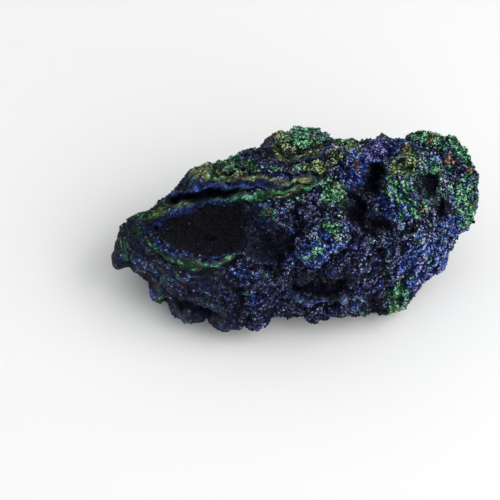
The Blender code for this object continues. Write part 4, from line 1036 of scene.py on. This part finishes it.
def make_druse(groups, stone):
    """The crystals of the stone's crust, in a few pieces. The masks are the chances of each mineral,
    drawn for whole clumps or for single crystals. The tone is random, low in seams and towards the
    clumps' edges, which is painted shade, higher on tops, which is painted light, set by the laminae on
    the flank on a low tone that is painted shade there, and evened in calm places."""
    rng = np.random.default_rng(7)
    count = sum(DRUSE_COUNTS)
    chosen, base, out = crystal_places(rng, crystal_weight(stone), count)
    view = tuple(part[chosen] for part in VIEW)
    here = {name: values[chosen] for name, values in stone.items()}
    worn, seam_shade, depth, flank, calm = (here[name] for name in ("smooth", "seam_shade", "depth", "flank", "calm"))
    coarse = smooth(-0.2, 0.6, layered_noise(base, 6, 2, 305))
    sizes = GRAIN[0] + (GRAIN[1] - GRAIN[0]) * rng.random(count) ** (3 - 1.6 * coarse)
    sizes *= (1 - 0.45 * flank) * (1 - 0.45 * worn)
    sizes *= (1 - 0.4 * here["layered"]) * (1 - 0.25 * calm)
    middle, chances = clumped(base, view)
    tone = np.clip(rng.beta(0.7, 1.4, count) + 0.2 * noise(base, 1.9, 310), 0, 1)
    # Painted light on tops and painted shade in seams.
    tone *= np.clip(2.3 - 2.4 * seam_shade, 0, 1.9)
    # Random for each clump, and lower towards its edge: painted shade.
    tone *= (0.5 + 0.9 * chances["tone"]) * (0.4 + 0.6 * middle)
    # The flank's laminae on a low tone, which is painted shade on the side turned from the light.
    laminated = flank * (0.03 + 0.38 * here["lamina"]**3) * rng.uniform(0.3, 1.1, count) * (1 - 0.6 * seam_shade)
    tone = tone * (1 - flank) + laminated
    tone *= (1 - 0.45 * worn) * (1 + 0.8 * here["light"])
    tone += 0.7 * calm * (0.19 * (1 - 0.8 * seam_shade) - tone)
    even = np.minimum(0.6 * worn + 0.35 * calm, 0.8)
    follows = rng.random(count) < CLUMP_SHARE
    picked = {}
    for name, chance in CHANCE.items():
        drawn = np.where(follows, chances[name], rng.random(count)) * (1 - 0.7 * worn)
        picked[name] = (drawn < here[name] * chance + EXTRA[name]).astype(float)
    green_lamina = flank * (here["lamina"] > 0.8) * (rng.random(count) < 0.4)
    picked["green"] = np.maximum(picked["green"], green_lamina)
    # Painted glints, on tops and out of pits.
    pale = 0.85 * (1 - depth) * glint_share(base, view, seam_shade) * rng.random(count) * (1 - 0.6 * calm)
    gloss = (rng.random(count) < GLOSSY_SHARE) * rng.uniform(0.5, 1.0, count)
    masks = packed(picked, tone, depth, pale, gloss, even)
    bright = mineral_material("bright crystals", groups, roughness=0.16, bump=0.05, bump_scale=2600,
                              specular=1.0, lean=0.35)
    dull = mineral_material("dull crystals", groups, roughness=0.45, bump=0.1, bump_scale=2600,
                            specular=0.08, lean=0.4)
    for piece, end in enumerate(np.cumsum(DRUSE_COUNTS)):
        own = slice(end - DRUSE_COUNTS[piece], end)
        name = f"druse_{piece + 1}"
        points, faces, uvs = crystals(base[own], out[own], sizes[own], seed=20 + piece)
        points[:, 2] = np.maximum(points[:, 2], 0)
        each = {mask: np.repeat(values[own], CORNERS, axis=0) for mask, values in masks.items()}
        add_piece(name, mesh_of(name, points, [faces], [uvs], each), dull if piece else bright)


def rim_heights(around):
    """How far the stone's skin stands out of the mouth's plane at each angle round the hollow: the mean
    of the nearest points of the skin, then of five neighbouring angles."""
    across, up, facing = VIEW
    front = facing > FRONT
    rim_across, rim_up, _ = hollow(around, np.zeros_like(around), SKIN_EDGE)
    gaps = (across[front] - rim_across[:, None]) ** 2 + (up[front] - rim_up[:, None]) ** 2
    nearest = np.argsort(gaps, axis=1)[:, :NEAREST_POINTS]
    level = (SURFACE[front] @ np.array(SIDES["face"][2]))[nearest].mean(1)
    level = sum(np.roll(level, k) for k in (-2, -1, 0, 1, 2)) / 5
    return level - mouth_level(rim_across, rim_up)


def lining_shell():
    """A closed shell that runs from the hollow's bottom up its crystal side, over the rim and into the
    stone's skin, then down its back. Returns its points as a grid, its places across the face, how deep
    in shade they are, up to 1 at the bottom, and how near each ring is to the rim."""
    around = 2 * pi * np.arange(LINING_SEGMENTS) / LINING_SEGMENTS
    inner = np.linspace(1, 0.02, INNER_RINGS) ** 0.8
    lip = np.linspace(0, 1, LIP_RINGS + 2)[1:-1]
    outer = np.linspace(0, 1, OUTER_RINGS)
    w, below = np.meshgrid(around, np.concatenate([inner, 0 * lip, outer]))
    grow = np.concatenate([0 * inner, CRUST * lip, CRUST + 0 * outer])[:, None] + 0 * w
    sink = np.concatenate([0.5 * smooth(0.1, 0, inner), 0.5 + 0.5 * lip, 1.0 + 0 * outer])
    across, up, _ = hollow(w, below, grow)
    level = mouth_level(across, up) + rim_heights(around) * (1 - smooth(0, 0.7, below))
    on_shell = on_face(across, up, level)
    ring = np.arange(LINING_RINGS)[:, None]
    raised = np.where(ring < INNER_RINGS, 0.5 * facets(on_shell, 1.3, 91), 0)
    raised = raised + np.where(ring < INNER_RINGS + LIP_RINGS, 0.35 * noise(on_shell, 1.5, 92), 0)
    across, up, depth = hollow(w, below, grow - raised)
    points = on_face(across, up, level - depth - sink[:, None])
    shade = (0.1 + 0.9 * smooth(0.0, 0.6, below)) * (ring < INNER_RINGS)
    near_rim = np.exp(-((ring - INNER_RINGS - LIP_RINGS / 2) / 5.0) ** 2) + 0 * w
    return points, across, shade, near_rim


def make_lining(groups):
    """The hollow's lining, blue along the left of its rim, and the crystals on its walls."""
    grid, across, shade, near_rim = lining_shell()
    points = np.concatenate([grid.reshape(-1, 3), [grid[0].mean(0), grid[-1].mean(0)]])
    patch = with_poles(near_rim, 0, 0) * smooth(-13, -18, with_poles(across, 0, 0))
    patch = patch * smooth(-0.9, -0.3, layered_noise(points, 3, 2, 320))
    masks = {**dict.fromkeys(CHANCE, 0 * patch), "azure": patch, "violet": 0.2 * patch}
    tone = np.clip(0.4 + 0.4 * layered_noise(points, 0.8, 3, 321), 0, 1) * (0.05 + 0.95 * patch)
    # Painted shade on the hollow's walls, growing towards the bottom, except on the blue patch.
    depth = (1 - patch) * with_poles(shade, 1, 0)
    looks = packed(masks, tone, depth, even=0.7 * patch)
    mesh = mesh_of("hollow_lining", points, *grid_faces(LINING_RINGS, LINING_SEGMENTS), looks)
    material = mineral_material("hollow crystals", groups, roughness=0.3, bump=0.3, bump_scale=2000,
                                specular=0.13, lean=0.8, deep=HOLLOW_SHADE_COLOUR)
    add_piece("hollow_lining", mesh, material, node="hollow_crystal_crust")
    make_hollow_crystals(material, grid, shade)


def make_hollow_crystals(material, grid, shade):
    """Crystals on the walls of the hollow, which point at its middle. Most take the hollow's painted
    shade, and a few are painted light as glints."""
    rng = np.random.default_rng(9)
    count = LINING_CRYSTALS
    rows = rng.integers(0, INNER_RINGS - 1, count)
    columns = rng.integers(0, LINING_SEGMENTS, count)
    base = grid[rows, columns]
    middle = on_face(*(np.array(part) for part in (*HOLLOW_MIDDLE, MOUTH_LEVEL - AIM_DEPTH)))
    out = middle - base
    out /= np.linalg.norm(out, axis=-1, keepdims=True)
    sizes = LINING_GRAIN[0] + (LINING_GRAIN[1] - LINING_GRAIN[0]) * rng.random(count) ** 2
    points, faces, uvs = crystals(base, out, sizes, seed=40)
    lit = rng.random(count) < LIT_SHARE
    # Painted glints on a few crystals, and painted shade on the rest by where they sit in the hollow.
    tone = np.where(lit, 1.2, 0.06) * rng.random(count)
    depth = np.where(lit, 0.4, shade[rows, columns])
    gloss = (rng.random(count) < LINING_GLOSSY_SHARE).astype(float)
    masks = packed(dict.fromkeys(CHANCE, 0 * tone), tone, depth, 0.005, gloss)
    each = {mask: np.repeat(values, CORNERS, axis=0) for mask, values in masks.items()}
    mesh = mesh_of("hollow_crystals", points, [faces], [uvs], each)
    add_piece("hollow_crystals", mesh, material)


def add_node(tree, kind, inputs, **settings):
    """A shader node of this kind with these settings. Each of its inputs is fed by a socket, a number or a
    colour."""
    made = tree.nodes.new(f"ShaderNode{kind}")
    for setting, value in settings.items():
        setattr(made, setting, value)
    for name, value in inputs.items():
        socket = made.inputs[name]
        if isinstance(value, bpy.types.NodeSocket):
            tree.links.new(value, socket)
        else:
            socket.default_value = (*value, 1) if socket.type == "RGBA" else value
    return made


def worked(tree, operation, first, second):
    """The result of a math node. Each input is a socket or a number."""
    return add_node(tree, "Math", {0: first, 1: second}, operation=operation).outputs[0]


def mixed(tree, factor, first, second):
    """A mix of two colours. Each input is a socket, or a number or colour."""
    return add_node(tree, "Mix", {0: factor, 6: first, 7: second}, data_type="RGBA").outputs[2]


def group(name, inputs, outputs):
    """A shader node group with these named sockets, {name: (type, default)} and {name: type}, and a
    function that puts out a value for each of the outputs."""
    made = bpy.data.node_groups.new(name, "ShaderNodeTree")
    for socket, (kind, default) in inputs.items():
        new = made.interface.new_socket(socket, in_out="INPUT", socket_type=f"NodeSocket{kind}")
        new.default_value = default
    for socket, kind in outputs.items():
        made.interface.new_socket(socket, in_out="OUTPUT", socket_type=f"NodeSocket{kind}")
    entry, leave = made.nodes.new("NodeGroupInput"), made.nodes.new("NodeGroupOutput")

    def put_out(**values):
        """Feeds each of these outputs of the group."""
        for socket, value in values.items():
            made.links.new(value, leave.inputs[socket])

    return made, entry.outputs, put_out


def fine_facets():
    """The smallest crystal faces, as cells of a Voronoi texture: two random numbers for each cell,
    painted shade along each cell's edge, and a normal that leans its own way in each cell by up to Lean.
    The streaks are ridged noise, 1 - 9 |noise - 0.5| and no less than 0: thin lines of painted highlights
    that join up."""
    made, given, put_out = group(
        "fine facets", {"Place": ("Vector", (0, 0, 0)), "Size": ("Float", 0.001), "Lean": ("Float", 0.5)},
        {"Tone": "Float", "Choice": "Float", "Seam": "Float", "Streak": "Float", "Normal": "Vector"})
    cell = {"Vector": given["Place"], "Scale": worked(made, "DIVIDE", 1.0, given["Size"])}
    colour = add_node(made, "TexVoronoi", cell, feature="F1").outputs["Color"]
    rim = add_node(made, "TexVoronoi", cell, feature="DISTANCE_TO_EDGE").outputs["Distance"]
    numbers = add_node(made, "SeparateXYZ", {0: colour}).outputs
    seam_shade = add_node(made, "MapRange", {"Value": rim, "From Max": 0.12, "To Min": 1, "To Max": 0}).outputs[0]
    drawn_out = {0: given["Place"], 1: (0.6, 1, 1)}
    drawn_out = add_node(made, "VectorMath", drawn_out, operation="MULTIPLY").outputs[0]
    swirl = {"Vector": drawn_out, "Scale": GLINT_STREAK_SCALE, "Detail": 3}
    swirl = add_node(made, "TexNoise", swirl).outputs["Fac"]
    off = worked(made, "ABSOLUTE", worked(made, "SUBTRACT", swirl, 0.5), 0)
    ridge = worked(made, "SUBTRACT", 1, worked(made, "MULTIPLY", off, 9))
    lean = add_node(made, "VectorMath", {0: colour, 1: (0.5, 0.5, 0.5)}, operation="SUBTRACT").outputs[0]
    lean = add_node(made, "VectorMath", {0: lean, "Scale": given["Lean"]}, operation="SCALE").outputs[0]
    normal = made.nodes.new("ShaderNodeNewGeometry").outputs["Normal"]
    total = add_node(made, "VectorMath", {0: lean, 1: normal}).outputs[0]
    unit = add_node(made, "VectorMath", {0: total}, operation="NORMALIZE").outputs[0]
    glint_streak = worked(made, "MAXIMUM", ridge, 0)
    put_out(Tone=numbers[0], Choice=numbers[1], Seam=seam_shade, Streak=glint_streak, Normal=unit)
    return made


def mineral_colour():
    """The colour of the stone's minerals from their masks. Blues: azure, violet, depth in a pit, which is
    painted shade there and in the hollow. Greens: green, olive, mint. Grains: a tone of the grain's own,
    the share of its faces that are pale, painted glints, and how glossy it is. Wear: rust, the limonite,
    and how even the grain's faces are. The fine faces give tone, choice, painted shade at their edges and
    streaks of painted highlights: tone^3 and the streaks make a face light, and the edge shade darkens
    it. A tone past full light turns into a painted highlight, and depth mixes in the colour of painted
    shade."""
    made, given, put_out = group(
        "mineral colour",
        {"Blues": ("Vector", (0, 0, 0)), "Greens": ("Vector", (0, 0, 0)),
         "Grains": ("Vector", (0.5, 0, 0)), "Wear": ("Vector", (0, 0, 0)),
         "Tone": ("Float", 0.5), "Choice": ("Float", 0.0), "Seam": ("Float", 0.0), "Streak": ("Float", 0.0),
         "Deep": ("Color", (*PIT_SHADE_COLOUR, 1))},
        {"Colour": "Color", "Gloss": "Float"})

    def times(first, second):
        return worked(made, "MULTIPLY", first, second)

    def plus(first, second):
        return worked(made, "ADD", first, second)

    def minus(first, second):
        return worked(made, "SUBTRACT", first, second)

    (azure, violet, depth), (green, olive, mint), (tone, pale, gloss), (rust, even, _) = (
        add_node(made, "SeparateXYZ", {0: given[mask]}).outputs
        for mask in ("Blues", "Greens", "Grains", "Wear"))
    face = plus(times(worked(made, "POWER", given["Tone"], 3), 2.4), 0.2)
    # Streaks of painted highlights.
    face = times(face, plus(times(given["Streak"], 3.2), 0.2))
    # Painted shade at the edges of the fine faces.
    face = times(face, minus(1.15, times(given["Seam"], 0.8)))
    face = plus(face, times(even, minus(0.85, face)))
    lit = times(tone, face)
    shades = {name: mixed(made, lit, *colours) for name, colours in COLOURS.items()}
    blue = mixed(made, violet, mixed(made, azure, shades["navy"], shades["royal"]), shades["purple"])
    greenery = mixed(made, mint, mixed(made, olive, shades["leaf"], shades["moss"]), shades["milky"])
    either = worked(made, "MAXIMUM", green, olive)
    stone = mixed(made, rust, mixed(made, either, blue, greenery), shades["ochre"])
    # Painted highlight where the tone runs past full light, and painted glints on the picked pale faces.
    painted_highlight = worked(made, "MINIMUM", worked(made, "MAXIMUM", times(minus(lit, 1.0), 0.34), 0), 0.4)
    glint = mixed(made, either, BLUE_GLINT, GREEN_GLINT)
    stone = mixed(made, painted_highlight, stone, glint)
    picked = worked(made, "GREATER_THAN", given["Choice"], minus(1.0, pale))
    stone = mixed(made, times(picked, 0.72), stone, glint)
    # Painted shade: the colour turns towards the deep colour with depth.
    put_out(Colour=mixed(made, times(depth, 0.9), stone, given["Deep"]), Gloss=gloss)
    return made


def mineral_material(name, groups, roughness, bump, bump_scale, specular, lean, deep=PIT_SHADE_COLOUR):
    """Principled material coloured by the mineral masks, with fine faces and a grain of its own. Glossy
    grains are smooth. The deep colour is that of the painted shade in pits."""
    colour_group, facet_group = groups
    material = bpy.data.materials.new(name)
    tree = empty_tree(material)
    place = tree.nodes.new("ShaderNodeTexCoord").outputs["Object"]
    fine = add_node(tree, "TexNoise", {"Vector": place, "Scale": bump_scale, "Detail": 4}).outputs["Fac"]
    faces = placed_group(tree, facet_group, {"Place": place, "Size": FACET * MM, "Lean": lean})
    given = {value: faces[value] for value in ("Tone", "Choice", "Seam", "Streak")}
    for mask in ("Blues", "Greens", "Grains", "Wear"):
        given[mask] = add_node(tree, "Attribute", {}, attribute_name=mask.lower()).outputs["Vector"]
    colour = placed_group(tree, colour_group, {**given, "Deep": deep})
    gloss = {"Value": colour["Gloss"], "To Min": roughness, "To Max": 0.1}
    rough = add_node(tree, "MapRange", gloss).outputs[0]
    relief = {"Strength": bump, "Distance": 0.2 * MM, "Height": fine, "Normal": faces["Normal"]}
    shader = add_node(tree, "BsdfPrincipled", {
        "Base Color": colour["Colour"], "IOR": 1.5, "Specular IOR Level": specular,
        "Roughness": worked(tree, "ADD", rough, worked(tree, "MULTIPLY", fine, 0.2)),
        "Normal": add_node(tree, "Bump", relief).outputs["Normal"]})
    add_node(tree, "OutputMaterial", {"Surface": shader.outputs[0]})
    return material


def empty_tree(material):
    """The material's node tree, emptied."""
    material.use_nodes = True
    material.node_tree.nodes.clear()
    return material.node_tree


def placed_group(tree, node_group, inputs):
    """The outputs of a node group that is placed in the tree with these inputs."""
    return add_node(tree, "Group", inputs, node_tree=node_group).outputs


def add_camera():
    """A camera that looks square on to the open face, with the picture's middle at its named place."""
    data = bpy.data.cameras.new("camera")
    camera = bpy.data.objects.new("camera", data)
    bpy.context.scene.collection.objects.link(camera)
    target = placed(on_face(*(np.array(part) for part in CENTRE)))
    camera.location = Vector(target) + CAMERA_DISTANCE * (SPIN @ OUT)
    camera.rotation_euler = (SPIN @ OUT).to_track_quat("Z", "Y").to_euler()
    data.sensor_width = SENSOR
    data.lens = SENSOR * CAMERA_DISTANCE / (PICTURE_WIDTH * PIXEL)
    data.clip_start, data.clip_end = 0.05, 20
    bpy.context.scene.camera = camera


def add_lamp(name, direction, distance, side, power, glossy):
    """A square lamp that faces the stone from this direction and distance."""
    azimuth, elevation = (radians(angle) for angle in direction)
    place = Vector((cos(azimuth) * cos(elevation), sin(azimuth) * cos(elevation), sin(elevation)))
    data = bpy.data.lights.new(name, "AREA")
    data.energy, data.size = power, side
    light = bpy.data.objects.new(name, data)
    bpy.context.scene.collection.objects.link(light)
    light.location = place * distance + Vector((0, 0, LAMP_AIM))
    light.rotation_euler = place.to_track_quat("Z", "Y").to_euler()
    light.visible_glossy = glossy


def add_room():
    """Soft light from all round: brightest overhead and in front of the stone to the right, dimmer
    behind."""
    world = bpy.data.worlds.new("studio")
    bpy.context.scene.world = world
    world.use_nodes = True
    tree = world.node_tree
    direction = tree.nodes.new("ShaderNodeTexCoord").outputs["Generated"]
    bright_side = {0: direction, 1: Vector(ROOM_BRIGHT_SIDE).normalized()}
    along = add_node(tree, "VectorMath", bright_side, operation="DOT_PRODUCT").outputs["Value"]
    low, high = ROOM_STRENGTH
    ramp = {"Value": along, "From Min": 0.2, "From Max": 0.95, "To Min": low, "To Max": high}
    strength = add_node(tree, "MapRange", ramp, interpolation_type="SMOOTHSTEP").outputs[0]
    background = tree.nodes["Background"]
    background.inputs["Color"].default_value = (*ROOM, 1)
    tree.links.new(strength, background.inputs["Strength"])


def add_floor():
    """The pale table top, which isn't part of the stone."""
    mesh = bpy.data.meshes.new("floor")
    corners = [(x * FLOOR_REACH, y * FLOOR_REACH, 0) for x, y in ((-1, -1), (1, -1), (1, 1), (-1, 1))]
    mesh.from_pydata(corners, [], [(0, 1, 2, 3)])
    floor = bpy.data.objects.new("floor", mesh)
    bpy.context.scene.collection.objects.link(floor)
    material = bpy.data.materials.new("pale floor")
    tree = empty_tree(material)
    shader = add_node(tree, "BsdfPrincipled", {"Base Color": FLOOR, "Roughness": 0.8})
    add_node(tree, "OutputMaterial", {"Surface": shader.outputs[0]})
    mesh.materials.append(material)


def main():
    groups = mineral_colour(), fine_facets()
    stone = read_stone()
    make_skin(groups, stone)
    make_druse(groups, stone)
    make_lining(groups)
    add_camera()
    add_room()
    for name, lamp in LAMPS.items():
        add_lamp(name, *lamp)
    add_floor()
    bpy.context.scene.view_settings.view_transform = "Standard"


main()
